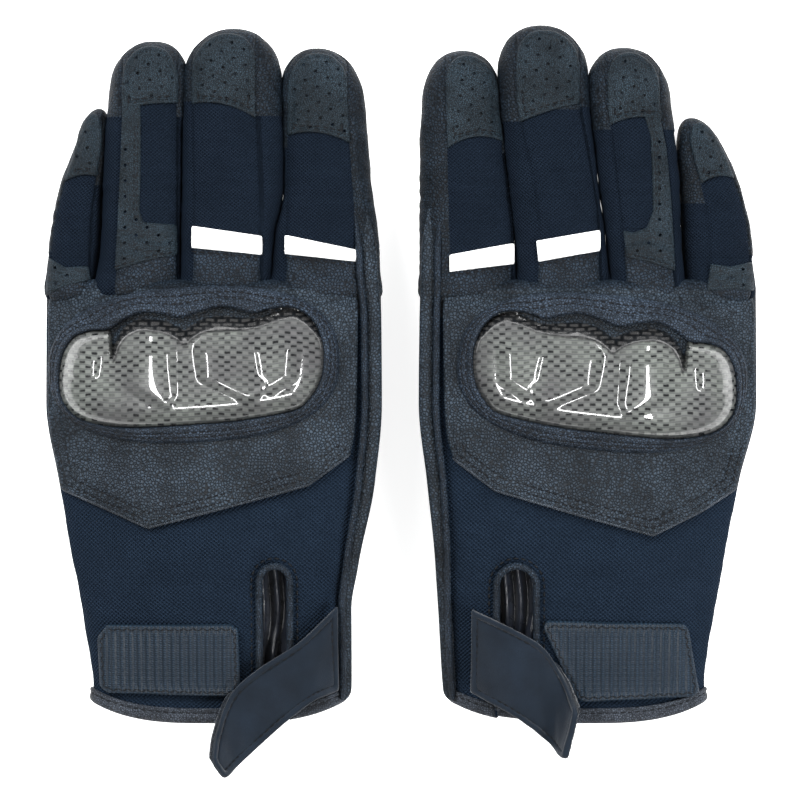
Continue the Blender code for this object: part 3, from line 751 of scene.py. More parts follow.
def knit(name, colour, cell):
    """Pique mesh: small staggered loops with a dark hole between them."""
    f = Finish(name, 0.85, Specular_IOR_Level=0.06)
    u, v = f.flat()
    loops = f.math("MULTIPLY", f.wave(u, cell * 1.25), f.wave(v, cell * 1.05))
    where = f.place()
    fibre = f.noise(where, 4.0, 2.0, 0.6)
    yarn = f.varied(f.noise(where, 0.09, 3.0, 0.6), 0.3, 0.7, colour, 0.85, 1.4)
    yarn = f.blend(f.ramp(fibre, 0.35, 0.7), lighter(colour, 0.8), yarn)
    f.colour(f.blend(f.ramp(loops, -0.75, 0.25), lighter(colour, 0.45), yarn))
    f.bump(f.math("ADD", loops, f.math("MULTIPLY", fibre, 0.4)), 0.9, 0.35)
    return f.material


TOW_LENGTH, TOW_WIDTH = 4.1, 1.62       # the weave's cell


def carbon(name):
    """Glossy woven plate: pale tows with short dark gaps, in staggered rows. Where its shade attribute is 1 the
    colour turns to a darker weave: painted shade for the guard's steep upper side and the window's edge under the
    rim.
    """
    f = Finish(name, 0.3, Specular_IOR_Level=0.5, Coat_Weight=1.0, Coat_Roughness=0.03)
    u, v = f.flat()
    where = f.place()
    # the shade attribute: how much painted shade falls on the weave, 0 to 1
    shade = f.node("ShaderNodeAttribute", attribute_name="shade").outputs["Fac"]
    sway = f.math("MULTIPLY", f.math("SUBTRACT", f.noise(where, 0.09, 2.0), 0.5), 2.6)
    row = f.math("DIVIDE", f.math("ADD", v, sway), TOW_WIDTH)
    # Every second row is shifted by half a tow. 100 and 200 keep the values above 0.
    shift = f.math("MULTIPLY", f.math("MODULO", f.math("ADD", f.math("FLOOR", row), 200.0), 2.0), 0.5)
    along = f.math("FRACT", f.math("ADD", f.math("ADD", f.math("DIVIDE", u, TOW_LENGTH), shift), 100.0))
    across = f.math("FRACT", f.math("ADD", row, 200.0))
    near_u = f.math("ABSOLUTE", f.math("SUBTRACT", along, 0.5))
    near_v = f.math("ABSOLUTE", f.math("SUBTRACT", across, 0.5))

    def spot(start_u, end_u, start_v, end_v):
        """1 in the middle of each cell of the weave, falling to 0."""
        return f.math("MULTIPLY", f.ramp(near_u, start_u, end_u, 1.0, 0.0),
                      f.ramp(near_v, start_v, end_v, 1.0, 0.0))

    dash = spot(0.19, 0.31, 0.16, 0.40)
    patchy = f.ramp(f.noise(where, 0.12, 3.0), 0.36, 0.58, 0.35, 1.0)
    strand = f.wave(u, 0.5)
    slow = f.ramp(f.noise(where, 0.05, 2.0), 0.35, 0.65)
    tow = f.blend(slow, linear(122, 121, 122), linear(158, 164, 157))
    tow = f.blend(f.ramp(strand, -1.0, 1.0, 0.35, 0.0), tow, linear(100, 102, 104))
    tow = f.blend(f.ramp(near_v, 0.28, 0.5), tow, linear(96, 99, 100))
    pale = f.blend(f.math("MULTIPLY", dash, patchy), tow, linear(28, 31, 34))
    # The weave in painted shade: near-black with grey dashes. The lit weave turns into it where the shade
    # attribute is 1.
    dark = f.blend(spot(0.28, 0.42, 0.2, 0.4), linear(22, 24, 27), linear(84, 84, 84))
    f.colour(f.blend(shade, pale, dark))
    f.roughness(f.ramp(dash, 0.0, 1.0, 0.36, 0.22))
    f.bump(f.math("ADD", f.math("MULTIPLY", strand, 0.12), dash), 0.3, 0.05)
    return f.material


def hook_tape(name, colour):
    """Moulded hook tape: rows of tiny hooks on a ribbed ground."""
    f = Finish(name, 0.45, Specular_IOR_Level=0.5)
    u, v = f.flat()
    where = f.place()
    fine = f.noise(where, 3.0, 2.0)
    rows = f.math("MULTIPLY", f.ramp(f.wave(u, 1.45), -0.6, 0.8), f.ramp(f.wave(v, 0.8), -0.9, 0.6))
    tone = f.varied(f.noise(where, 0.10, 3.0), 0.3, 0.7, colour, 0.85, 1.3)
    hooks = f.math("MULTIPLY", rows, f.ramp(fine, 0.2, 0.6, 0.6, 1.0))
    f.colour(f.blend(hooks, lighter(colour, 0.42), tone))
    f.bump(f.math("ADD", rows, f.math("MULTIPLY", fine, 0.3)), 0.8, 0.35)
    return f.material


def suede(name, colour):
    """A napped face: short fibres brushed in soft patches."""
    f = Finish(name, 0.92, Specular_IOR_Level=0.2, Sheen_Weight=0.25, Sheen_Roughness=0.45)
    where = f.place()
    fibre = f.noise(where, 3.4, 4.0, 0.7)
    patches = f.varied(f.noise(where, 0.11, 4.0, 0.6), 0.35, 0.65, colour, 0.72, 1.3)
    f.colour(f.blend(f.ramp(fibre, 0.3, 0.7), lighter(colour, 0.66), patches))
    f.bump(fibre, 0.8, 0.22)
    return f.material


def reflective(name):
    """Silver-white tape with a very fine bead texture."""
    f = Finish(name, 0.42, Specular_IOR_Level=0.6)
    where = f.place()
    beads = f.noise(where, 5.0, 2.0)
    slow = f.noise(where, 0.12, 3.0)
    f.colour(f.blend(f.ramp(slow, 0.3, 0.7), (0.86, 0.86, 0.86), (0.93, 0.93, 0.93)))
    f.roughness(f.ramp(beads, 0.3, 0.7, 0.36, 0.5))
    f.bump(beads, 0.25, 0.05)
    return f.material


def satin(name, colour):
    """Shiny lining cloth in fine ribs."""
    f = Finish(name, 0.28, Specular_IOR_Level=0.55, Sheen_Weight=0.1)
    u, _ = f.flat()
    ribs = f.wave(u, 0.45)
    slow = f.noise(f.place(), 0.3, 3.0)
    f.colour(f.varied(slow, 0.3, 0.7, colour, 0.7, 1.7))
    f.roughness(f.ramp(slow, 0.3, 0.7, 0.24, 0.36))
    f.bump(f.math("ADD", f.math("MULTIPLY", ribs, 0.4), slow), 0.4, 0.1)
    return f.material


def thread(name, colour):
    """Twisted sewing thread."""
    f = Finish(name, 0.55, Specular_IOR_Level=0.4)
    u, v = f.flat()
    twist = f.math("SINE", f.math("ADD", f.math("MULTIPLY", u, 9.0), v))
    f.colour(f.varied(twist, -1.0, 1.0, colour, 0.7, 1.3))
    f.bump(twist, 0.5, 0.05)
    return f.material


def pile(name, colour):
    """Loop pile: a dense fuzz."""
    f = Finish(name, 0.95, Specular_IOR_Level=0.15, Sheen_Weight=0.3)
    cells = f.node("ShaderNodeTexVoronoi", {"Vector": f.place(), "Scale": 1.7}).outputs["Distance"]
    f.colour(f.varied(cells, 0.1, 0.7, colour, 1.3, 0.45))
    f.bump(f.math("SUBTRACT", 1.0, cells), 0.9, 0.4)
    return f.material


CAP = leather("cap_leather", linear(50, 65, 76), 0.5, grain=0.6, depth=0.1)
UPPER = leather("upper_leather", linear(46, 59, 73), 0.52)
LOWER = leather("lower_leather", linear(64, 77, 90), 0.5)
RIM = leather("rim_leather", linear(67, 80, 96), 0.5, grain=0.9)
SIDE = leather("side_leather", linear(36, 48, 60), 0.55)
WELT = leather("welt_leather", linear(54, 67, 82), 0.5, grain=0.8)
PALM = leather("palm_leather", linear(40, 48, 57), 0.58, grain=0.8)
BINDING = leather("binding_leather", linear(92, 100, 112), 0.42, grain=0.7)
EDGE = leather("edge_leather", linear(100, 110, 122), 0.5, grain=0.5)
FINGER_KNIT = knit("finger_mesh", linear(37, 49, 65), cell=1.15)
WRIST_KNIT = knit("wrist_mesh", linear(46, 62, 82), cell=1.3)
WEAVE = carbon("carbon_weave")
HOOKS = hook_tape("hook_tape", linear(54, 76, 97))
NAP = suede("strap_suede", linear(37, 50, 65))
PILE = pile("loop_pile", linear(50, 60, 72))
STRIP = reflective("reflective_tape")
LINING = satin("lining_satin", linear(24, 30, 42))
THREAD = thread("sewing_thread", linear(14, 18, 25))


# ---------------------------------------------------------------- fingers

COLUMNS = (28, 12, 22, 12)         # points round the back panel, left side strip, palm, right side strip
PALM_START, PALM_END = 196.0, 344.0      # the palm's seams, in degrees round the finger
KNIT, SIDE_KNIT, SIDE_LEATHER, UNDER, BASE_LEATHER = range(5)      # a finger's finishes, in their order


def finger_columns(finger, y):
    """Angles round the finger at y, with a column on each seam."""
    left, right = finger.limits(y)
    top_right, top_left = float(angle_at(right, FINGER_POWER)), float(angle_at(left, FINGER_POWER))
    stops = [top_right, top_left, PALM_START, PALM_END, 360.0 + top_right]
    angles = []
    for (a, b), count in zip(zip(stops, stops[1:]), COLUMNS):
        angles += [mix(a, b, i / count) for i in range(count)]
    return np.array(angles)


def finger_tube(finger, name, ys, tucked=0.0):
    """One stretch of a finger: back panel, two side strips and the palm, with a groove at each seam.

    Its last rows within the tucked length sink under the next stretch.
    """
    starts = np.cumsum((0,) + COLUMNS)
    count = starts[-1]
    at_seam = np.zeros(count)
    for seam in starts[:-1]:
        steps = np.abs(np.arange(count) - seam)
        at_seam = np.maximum(at_seam, np.exp(-(np.minimum(steps, count - steps) / 0.8) ** 2))
    seed = sum(map(ord, finger.side + finger.name))
    rings, uvs, kinds_of = [], [], []
    for y in ys:
        angles = finger_columns(finger, y)
        share = min(float(finger.halves(y)[0]) / 8, 1.0)
        wrinkle = 0.16 * ripple(angles * 0.14, y, seed) * share
        past_joint = y - finger.joint_y
        folds = 0.14 * np.exp(-(past_joint / 6.0) ** 2) * np.sin(past_joint * 1.3) * (angles < 190)
        lift = wrinkle + folds - 0.5 * at_seam * share
        kinds = np.full(count, KNIT)
        if y > finger.cap_seam[0] + 4:
            kinds[:starts[1]] = SIDE_LEATHER
        elif y < finger.knit_from:
            kinds[:starts[1]] = BASE_LEATHER
        kinds[starts[1]:starts[2]] = SIDE_LEATHER if y > finger.leather_from[0] else SIDE_KNIT
        kinds[starts[3]:] = SIDE_LEATHER if y > finger.leather_from[1] else SIDE_KNIT
        kinds[starts[2]:starts[3]] = UNDER
        lift = lift + 0.3 * (kinds == SIDE_LEATHER) * share
        if tucked:
            lift = lift - 0.6 * smooth((y - ys[-1] + tucked) / tucked)
        # The base rises to meet the back leather, then sinks under it.
        lift = lift + 0.5 * smooth((46 - y) / 6) - 2.6 * smooth((38.5 - y) / 6)
        points = finger.point(angles, y, lift)
        rings.append(points)
        length = reach_of(points)
        uvs.append(np.stack([length - length[COLUMNS[0] // 2], np.full(count, y)], axis=1))
        kinds_of.append(kinds)
    return loft(name, rings, uvs, [FINGER_KNIT, FINGER_KNIT, SIDE, PALM, UPPER], kinds_of)


def finger_rows(finger, start, end, step):
    """The rows' y from start to end, closer together round the tip."""
    tip_start = finger.end - TIP_ROUND
    straight = min(end, tip_start)
    ys = list(np.linspace(start, straight, max(int((straight - start) / step), 4)))
    if end > tip_start:
        turn = np.linspace(0, math.pi / 2, 18)[1:]
        ys += list(tip_start + TIP_ROUND * np.sin(turn) * 0.9995)
    return ys


def bend_at_joint(piece):
    """The piece keeps its place: its transform is baked into its mesh."""
    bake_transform(piece)


HOLE_SPACING, HOLE_ROWS, HOLE_RADIUS = 7.4, 2.7, 0.58      # the perforations


def grid_holes(outline, centre, tilt=0.0, margin=1.7):
    """Perforations in staggered rows, as far inside the outline as the margin."""
    centre = np.array(centre)
    rows, columns = np.meshgrid(np.arange(-25, 26), np.arange(-9, 10), indexing="ij")
    steps = np.stack([(columns + 0.5 * (rows % 2)) * HOLE_SPACING, rows * HOLE_ROWS], axis=-1)
    found = turned(centre + steps.reshape(-1, 2), centre, tilt)
    found = found[inside(found, outline)]
    return [disc(p, HOLE_RADIUS) for p in found[distance(found, outline) > margin]]


CAP_SHORT = 2.1      # how far a cap's arched top stays behind the fingertip
ARCH = 13.0          # the length over which a cap's sides draw in


def cap_outline(finger):
    """The tip cap's outline from above: its arched seam, its sides, then an arch inside the fingertip."""
    seam_left, seam_right, bulge = finger.cap_seam
    top = finger.end - CAP_SHORT
    share = np.linspace(0, 1, 24)

    def edges(y):
        return finger.panel(y) + (0.25, -0.25)

    x = mix(edges(seam_left)[0], edges(seam_right)[1], share)
    seam = np.stack([x, mix(seam_left, seam_right, share) + bulge * 4 * share * (1 - share)], axis=1)
    turn = np.sin(np.linspace(0, math.pi / 2, 26)[1:])
    ys = np.concatenate([np.linspace(seam_right, top - ARCH, 10)[1:], top - ARCH + ARCH * turn])
    sides = []
    for y in ys:
        t = np.clip((y - top + ARCH) / ARCH, 0, 1)
        left, right = edges(y)
        at = float(finger.middle(y)[0])
        middle = mix((left + right) / 2, at, 0.55 * t**1.5)
        half = (right - left) / 2 * math.sqrt(max(1 - t**2.4, 0.0))
        room = max(float(finger.halves(y)[0]) * 0.955, 0.1)
        sides.append((max(middle - half, at - room), min(middle + half, at + room), y))
    right_side = [(r, y) for _, r, y in sides]
    left_side = [(l, y) for l, _, y in sides if y > seam_left]
    return np.vstack([seam, right_side, left_side[::-1]])


FINGER_START = 29.0      # where the fingers begin, inside the hand
CAP_HOLES = 14.0         # how far behind the fingertip the perforations' middle row is


def build_finger(hand, name):
    """A finger in two stretches, with the perforated leather cap over its tip."""
    finger = FINGERS[(hand.side, name)]
    prefix = f"{hand.side}_{name}"
    lower = finger_tube(finger, prefix + "_finger_base",
                        finger_rows(finger, FINGER_START, finger.seam_y + 1.6, 0.9), tucked=2.2)
    bend_at_joint(lower)
    upper = finger_tube(finger, prefix + "_finger_end", finger_rows(finger, finger.seam_y, finger.end, 1.0))
    bend_at_joint(upper)
    outline = cap_outline(finger)
    holes_y = finger.end - CAP_HOLES
    holes = grid_holes(outline, (float(finger.panel(holes_y).mean()), holes_y), tilt=6.0 * hand.way)

    def relief(u, v, depth):
        return 0.12 * ripple(u, v, 9, ((8.0, 1.0), (3.5, 0.5)))

    cap = panel(prefix + "_cap_leather", outline, finger.top, 0.8, -0.4, CAP, holes=holes, step=1.15, roll=0.6,
                seams=(1.9,), edge_step=0.8, bump=relief)
    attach(cap, f"{prefix}_tip")
    seam_line = inset(resample(outline, 0.4, closed=True), 2.3)
    front = seam_line[seam_line[:, 1] < max(finger.cap_seam[:2]) + finger.cap_seam[2] + 2.6]
    front = front[np.argsort(front[:, 0])]
    if len(front) > 8:
        stitches((prefix, "tip"), front, finger.top, lift=0.72)
        stitches((prefix, "tip"), front + (0.0, -1.0), finger.top, lift=0.68, length=1.2, gap=1.4)
    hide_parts(f"{prefix}_base_palm", f"{prefix}_base_back")
    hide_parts(f"{prefix}_tip_palm")
    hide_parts(f"{prefix}_tip_cap")
    return finger


# Each reflective strip's corners from above.
STRIPS = {
    ("left", "middle"): [(-71.8, 60.9), (-48.3, 57.4), (-48.3, 50.9), (-71.8, 53.3)],
    ("left", "index"): [(-39.7, 57.8), (-15.5, 52.6), (-15.5, 48.5), (-39.7, 51.2)],
    ("right", "index"): [(16.9, 50.9), (38.6, 55.0), (38.6, 47.8), (16.9, 45.0)],
    ("right", "middle"): [(46.9, 55.7), (68.3, 59.5), (68.3, 52.3), (47.6, 48.5)],
}


def build_strip(finger):
    """The reflective strip across a finger, with a row of stitches below it."""
    prefix = f"{finger.side}_{finger.name}"
    corners = np.array(STRIPS[(finger.side, finger.name)], float)
    made = panel(prefix + "_reflective_strip", corners[::-1], finger.top, 0.85, -0.5, STRIP, step=1.3, roll=0.35,
                 edge_step=0.8)
    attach(made, f"{prefix}_base")
    stitches((prefix, "base"), corners[[3, 2]] + (0.0, -1.1), finger.top, lift=0.75)


# The ring finger's perforated leather below its cap: a strip down its outer side and a gathered base.
RING_LEATHER = {
    "left": [(-96.2, 104.5), (-90.2, 104.5), (-89.9, 96.0), (-89.9, 80.0), (-90.2, 66.0), (-88.8, 62.2),
             (-77.6, 61.4), (-77.4, 51.0), (-85.0, 49.6), (-98.6, 45.6), (-97.8, 60.0), (-97.0, 80.0)],
    "right": [(89.3, 99.5), (83.6, 101.0), (86.2, 92.0), (86.7, 80.0), (86.9, 66.0), (84.6, 60.2), (80.0, 58.6),
              (76.6, 59.4), (77.9, 50.2), (86.0, 48.2), (94.4, 45.4), (93.8, 58.0), (93.0, 72.0), (91.6, 88.0)],
}
# The little finger's perforated band.
LITTLE_BAND = {
    "left": [(-121.6, 50.0), (-115.8, 46.7), (-108.3, 47.2), (-107.4, 42.3), (-115.9, 40.2), (-122.6, 36.8)],
    "right": [(107.0, 47.9), (113.8, 46.9), (120.9, 48.6), (121.8, 38.6), (114.0, 39.2), (105.6, 38.4)],
}


def build_leather_strips(hand):
    """The perforated leather on the ring and the little finger. The little finger's band is attached to its base.
    """
    finger = FINGERS[(hand.side, "ring")]
    prefix = f"{hand.side}_ring"
    outline = np.array(RING_LEATHER[hand.side])
    outline = outline[::-1] if hand.way > 0 else outline
    middle_x = float(finger.panel(52.0).mean())
    holes = grid_holes(resample(outline, 1.0, closed=True), (middle_x, 55.0))

    def gathers(u, v, depth):
        base = smooth((64 - v) / 8)
        return base * smooth(depth / 2) * 0.42 * np.sin(v * 1.15 + 0.9 * np.sin(u * 0.35) + u * 0.12)

    made = panel(prefix + "_strip_leather", outline, finger.top, 0.55, -0.5, CAP, holes=holes, step=1.1, roll=0.45,
                 bump=gathers, edge_step=0.8)
    bend_at_joint(made)
    # Two rows of stitches follow the strip's inner edge, and one the gathered base.
    inner = np.array([p for p in RING_LEATHER[hand.side] if 62 < p[1] < 103])
    inner = inner[np.argsort(np.abs(inner[:, 0] - middle_x))][:4]
    inner = inner[np.argsort(-inner[:, 1])]
    out = -1.0 if hand.way > 0 else 1.0
    for by in (1.0, 2.1):
        stitches((prefix, "strip"), inner + (out * by, 0.0), finger.top, lift=0.5, length=1.4, gap=1.0)
    low = np.array([p for p in RING_LEATHER[hand.side] if p[1] < 51.5])
    low = low[np.argsort(low[:, 0])]
    stitches((prefix, "base"), low + (0.0, 1.2), finger.top, lift=0.5)
    finger = FINGERS[(hand.side, "little")]
    outline = np.array(LITTLE_BAND[hand.side])[::-1]
    holes = grid_holes(resample(outline, 1.0, closed=True), outline.mean(axis=0), margin=1.5)

    def waves(u, v, depth):
        return 0.3 * np.sin(v * 1.6 + u * 0.2) * smooth(depth / 2)

    band = panel(f"{hand.side}_little_band", outline, finger.top, 0.85, -0.5, CAP, holes=holes, step=1.1,
                 roll=0.45, bump=waves, edge_step=0.8)
    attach(band, f"{hand.side}_little_base")


# ---------------------------------------------------------------- the hand

HEM_Y, HEM_RISE, HEM_POWER = -110.3, 7.0, 3.4      # the cuff's edge


def hem_y(across):
    """The cuff's edge: lowest in the middle, drawn up at both sides."""
    return HEM_Y + HEM_RISE * np.abs(np.clip(across, -1, 1)) ** HEM_POWER


SLITS = {"left": (-43.6, 5.0, -56.4), "right": (39.8, 6.6, -56.4)}     # middle x, half width, y of the top
BEYOND_HEM = -116.0


def slit_path(side, grow=0.0):
    """The slit's outline with a round top, that much larger all round."""
    x, half, top = SLITS[side]
    a = np.linspace(0, math.pi, 17)
    arch = np.stack([x + (half + grow) * np.cos(a), top - half + (half + grow) * np.sin(a)], axis=1)
    return np.vstack([[(x + half + grow, BEYOND_HEM)], arch, [(x - half - grow, BEYOND_HEM)]])


BACK_FROM, BACK_TO = 12, 192          # the knitted back, in degrees round the hand
BACK_COLUMNS, UNDER_COLUMNS = 130, 70
SHELL_ROWS = 150


def build_shell(hand):
    """The cloth and leather shell with its lining, open at the cuff and along the slit."""
    angles = np.concatenate([np.linspace(BACK_FROM, BACK_TO, BACK_COLUMNS + 1)[:-1],
                             np.linspace(BACK_TO, BACK_FROM + 360, UNDER_COLUMNS + 1)[:-1]])
    is_back = angles < BACK_TO
    low = hem_y(oval(angles, 1, 1, HAND_POWER)[0])
    rings, uvs, finishes = [], [], []
    # Three shrinking rings round the shell off at the knuckles.
    for y, share in ((42.6, 0.3), (42.2, 0.62), (41.4, 0.85)):
        ring = hand.point(angles, KNUCKLE_Y)
        centre = ring.mean(axis=0)
        ring = centre + (ring - centre) * (0.92 + 0.08 * share, 1, share)
        ring[:, 1] = y
        rings.append(ring)
    for t in np.arange(SHELL_ROWS + 1) / SHELL_ROWS:
        ys = mix(KNUCKLE_Y, low, t)
        bare = smooth((-24 - ys) / 20) * is_back
        waves = 0.35 * ripple(angles * 0.42, ys, 31 + len(hand.side), ((26.0, 1.0), (11.0, 0.45), (5.0, 0.2)))
        rings.append(hand.point(angles, ys, -0.15 + waves * bare))
    for ring in rings:
        length = reach_of(ring)
        uvs.append(np.stack([length - length[BACK_COLUMNS // 2], ring[:, 1]], axis=1))
        # knitted on the back, but leather near the knuckles, and leather on the palm
        finishes.append(np.where(is_back, np.where(ring[:, 1] > 30, 3, 0), 1))
    shell = loft(f"{hand.side}_hand_shell", rings, uvs, [WRIST_KNIT, PALM, LINING, UPPER], finishes, end="open")
    wall = shell.modifiers.new("wall", "SOLIDIFY")
    wall.thickness, wall.offset = WALL * MM, -1
    wall.material_offset, wall.material_offset_rim = 2, 0
    outline = slit_path(hand.side)
    n = len(outline)
    points = np.vstack([np.column_stack([outline, np.full(n, z)]) for z in (15.0, 60.0)])
    faces = [tuple(range(n))[::-1], tuple(range(n, 2 * n))]
    faces += [(i, (i + 1) % n, (i + 1) % n + n, i + n) for i in range(n)]
    cutter = mesh_piece("slit_cutter", points, faces, points[:, :2], [WRIST_KNIT])
    opening = shell.modifiers.new("slit", "BOOLEAN")
    opening.operation, opening.solver, opening.object = "DIFFERENCE", "EXACT", cutter
    apply_all(shell)
    bpy.data.objects.remove(cutter)
    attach(shell, f"{hand.side}_hand")
    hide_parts(f"{hand.side}_wrist_mesh", f"{hand.side}_palm")


# The back leather's lower edge, from the thumb side.
V_EDGES = {
    "left": [(-17.6, -17.5), (-32.1, -28.2), (-60.0, -35.8), (-86.6, -42.8), (-101.5, -36.2), (-116.6, -29.5)],
    "right": [(18.0, -19.0), (32.5, -30.0), (58.0, -37.6), (86.2, -45.4), (103.0, -37.2), (115.2, -29.3)],
}


TOP_EDGE_Y = 39.4              # the back leather's upper edge
LEATHER_SEAMS = (2.0, 4.6)     # its two rows of stitches, from the edge


def build_back_leather(hand):
    """The leather over the back of the hand. Its lower edge is a wide V."""

    def side_line(ys, shares):
        """Points at those shares of the half width, positive towards the thumb."""
        middle, half_width, *_ = hand.section(ys)
        return np.stack([middle + hand.way * half_width * shares, ys], axis=1)

    outline = np.vstack([side_line(np.linspace(TOP_EDGE_Y, -12, 12), np.linspace(0.86, 0.84, 12)),
                         V_EDGES[hand.side], side_line(np.linspace(-27.0, TOP_EDGE_Y, 14), -0.972)])
    if hand.way > 0:
        outline = outline[::-1]

    def relief(u, v, depth):
        return 0.22 * ripple(u, v, 5, ((30.0, 1.0), (13.0, 0.4))) - 1.5 * smooth((v - 31) / 8)

    made = panel(f"{hand.side}_back_leather_panel", outline, hand.top, 1.9, -1.2, LOWER, step=2.0, roll=0.9,
                 seams=LEATHER_SEAMS, bump=relief, edge_step=1.2)
    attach(made, f"{hand.side}_hand")
    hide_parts(f"{hand.side}_back_leather")
    for seam in LEATHER_SEAMS:
        line = inset(resample(outline, 0.4, closed=True), seam)
        line = line[line[:, 1] < -14]
        # The line starts again after its largest gap, so that it runs from end to end.
        gaps = np.linalg.norm(np.diff(np.vstack([line[-1:], line]), axis=0), axis=1)
        stitches((hand.side, "hand"), np.roll(line, -int(np.argmax(gaps)), axis=0), hand.top, lift=1.75)
    fold = resample(V_EDGES[hand.side], 1.0)
    edge = tube(f"{hand.side}_back_leather_fold", hand.top(*fold.T, 1.15), 0.62, EDGE)
    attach(edge, f"{hand.side}_hand")


# The window in the guard's rim, from above.
WINDOW = [(-116.3, 6.7), (-115.2, 16.0), (-111.6, 22.0), (-105.9, 24.4), (-99.6, 24.8), (-96.4, 27.0),
          (-89.4, 30.4), (-82.5, 30.2), (-75.9, 28.8), (-69.3, 30.9), (-62.1, 32.5), (-56.2, 31.7),
          (-50.7, 30.2), (-45.9, 31.5), (-39.3, 32.3), (-34.5, 30.9), (-30.0, 26.8), (-27.4, 20.5),
          (-26.9, 13.6), (-28.3, 6.7), (-31.8, 1.0), (-37.2, -3.0), (-54.9, -6.4), (-71.1, -7.8),
          (-89.0, -8.8), (-101.1, -7.9), (-110.1, -4.9), (-114.9, 0.4)]
GUARD_MIDDLE = np.array([-71.6, 12.2])
MIRROR = np.array([-1, 1])
# The right guard is the left one mirrored, moved by this and turned by this about its own middle.
RIGHT_SHIFT, RIGHT_TURN = np.array([-1.9, -2.8]), -2.6
RIGHT_MIDDLE = GUARD_MIDDLE * MIRROR + RIGHT_SHIFT
RIM_MIDDLE, RIM_HALVES, RIM_POWER, RIM_TURN = np.array([-70.9, 12.9]), (49.4, 26.6), 2.5, 3.0


def on_guard(points, hand):
    """Points drawn for the left guard, placed on this hand's."""
    if hand.way > 0:
        return np.array(points, float)
    return turned(points * MIRROR + RIGHT_SHIFT, RIGHT_MIDDLE, RIGHT_TURN)


def from_guard(x, y, hand):
    """The same the other way: places on this hand's guard as on the left one."""
    p = np.stack([np.ravel(x), np.ravel(y)], axis=1)
    if hand.way < 0:
        p = (turned(p, RIGHT_MIDDLE, -RIGHT_TURN) - RIGHT_SHIFT) * MIRROR
    return p[:, 0], p[:, 1]


def rim_outline():
    """The rim's outer edge on the left guard."""
    x, y = oval(np.linspace(0, 360, 120, endpoint=False), *RIM_HALVES, RIM_POWER)
    return turned(np.stack([x, y], axis=1) + RIM_MIDDLE, RIM_MIDDLE, RIM_TURN)


def build_rim(hand):
    """The padded leather rim round the guard, with a lip at its window and two rows of stitches."""
    inner, outer_loop = resample(through(WINDOW, closed=True), 0.9, closed=True), rim_outline()
    angle_in, angle_out = (np.arctan2(*(loop - GUARD_MIDDLE).T[::-1]) for loop in (inner, outer_loop))
    order = np.argsort(angle_out)
    outer = np.stack([np.interp(angle_in, angle_out[order], outer_loop[order, k], period=2 * math.pi)
                      for k in (0, 1)], axis=1)
    # share of the way out, and height above the hand
    profile = [(0.0, 2.6), (-0.03, 4.0), (0.02, 4.9), (0.10, 5.2), (0.22, 5.1), (0.34, 4.75), (0.42, 4.35),
               (0.50, 4.5), (0.60, 4.35), (0.68, 3.85), (0.76, 3.9), (0.86, 3.5), (0.94, 2.9), (1.0, 2.2),
               (1.02, 1.2)]
    inner, outer = on_guard(inner, hand), on_guard(outer, hand)
    reach = reach_of(inner)
    rings, uvs = [], []
    for share, lift in profile:
        rings.append(hand.top(*mix(inner, outer, share).T, lift))
        uvs.append(np.stack([reach, np.full(len(reach), share * 8)], axis=1))
    made = loft(f"{hand.side}_guard_rim_leather", rings, uvs, [RIM], start="open", end="open")
    thicken(made, 0.9, -1)
    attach(made, f"{hand.side}_hand")
    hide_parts(f"{hand.side}_guard_rim")
    for share, lift in ((0.42, 4.45), (0.70, 3.95)):
        stitches((hand.side, "hand"), mix(inner, outer, share), hand.top, lift=lift, closed=True)


# The scalloped line below the guard's steep upper side, which is painted in shade. The line falls into a notch
# after the first knuckle.
CREST = Curve(*zip((-117.0, 25.0), (-103.0, 26.5), (-99.9, 25.0), (-99.3, 18.0), (-98.7, 13.6), (-98.0, 14.6),
                   (-96.6, 18.6), (-94.0, 22.3), (-89.1, 24.3), (-82.0, 23.6), (-77.0, 21.4), (-74.2, 19.3),
                   (-71.5, 21.4), (-68.0, 23.4), (-64.0, 24.1), (-57.4, 24.3), (-49.7, 25.4), (-43.0, 27.6),
                   (-37.4, 29.0), (-33.5, 27.6), (-30.0, 24.3), (-27.6, 21.6), (-26.0, 18.6)))
# Each raised facet: its height, and the corners of its top from above.
FACETS = [
    (0.7, [(-112.5, 14.5), (-104.0, 15.0), (-104.5, 9.4), (-109.0, 7.6), (-112.5, 9.6)]),
    (1.5, [(-91.1, 17.0), (-80.0, 17.0), (-79.4, 3.0), (-80.8, 0.4), (-91.1, 6.0)]),
    (1.6, [(-67.6, 17.5), (-47.0, 17.5), (-44.6, 8.6), (-52.4, 2.6), (-66.4, 8.8)]),
    (2.0, [(-49.5, 17.5), (-38.6, 18.5), (-39.6, 9.4), (-45.0, 6.4), (-48.0, 9.4)]),
]
FACET_ROUND = 2.6        # how sharply a facet's edge turns
GUARD_HEIGHT, GUARD_SHOULDER = 6.0, 9.0      # the dome's height, and the length over which it rises


def guard_relief(u, v, depth):
    """The guard's height above its edge: a dome with raised facets, cut away above the crest line."""
    body = GUARD_HEIGHT * (1 - (1 - np.clip(depth / GUARD_SHOULDER, 0, 1)) ** 2.3)
    points = np.stack([u, v], axis=1)
    raised = np.zeros_like(u)
    for height, corners in FACETS:
        loop = np.array(corners)
        away = distance(points, loop) * np.where(inside(points, loop), 1.0, -1.0)
        fall = np.log1p(np.exp(-away * FACET_ROUND)) / FACET_ROUND
        raised = np.maximum(raised, height - 0.46 * fall)
    swell = 0.5 * np.cos((u + 63.0) * 2 * math.pi / 23.0) * smooth((v - 2) / 12)
    beyond = np.clip(v - CREST(u)[..., 0], 0, 7)
    return body + (np.maximum(raised, 0) + swell) * smooth(depth / 5.0) - 0.95 * beyond * smooth(depth / 1.5)


DOME_FROM = 2.2


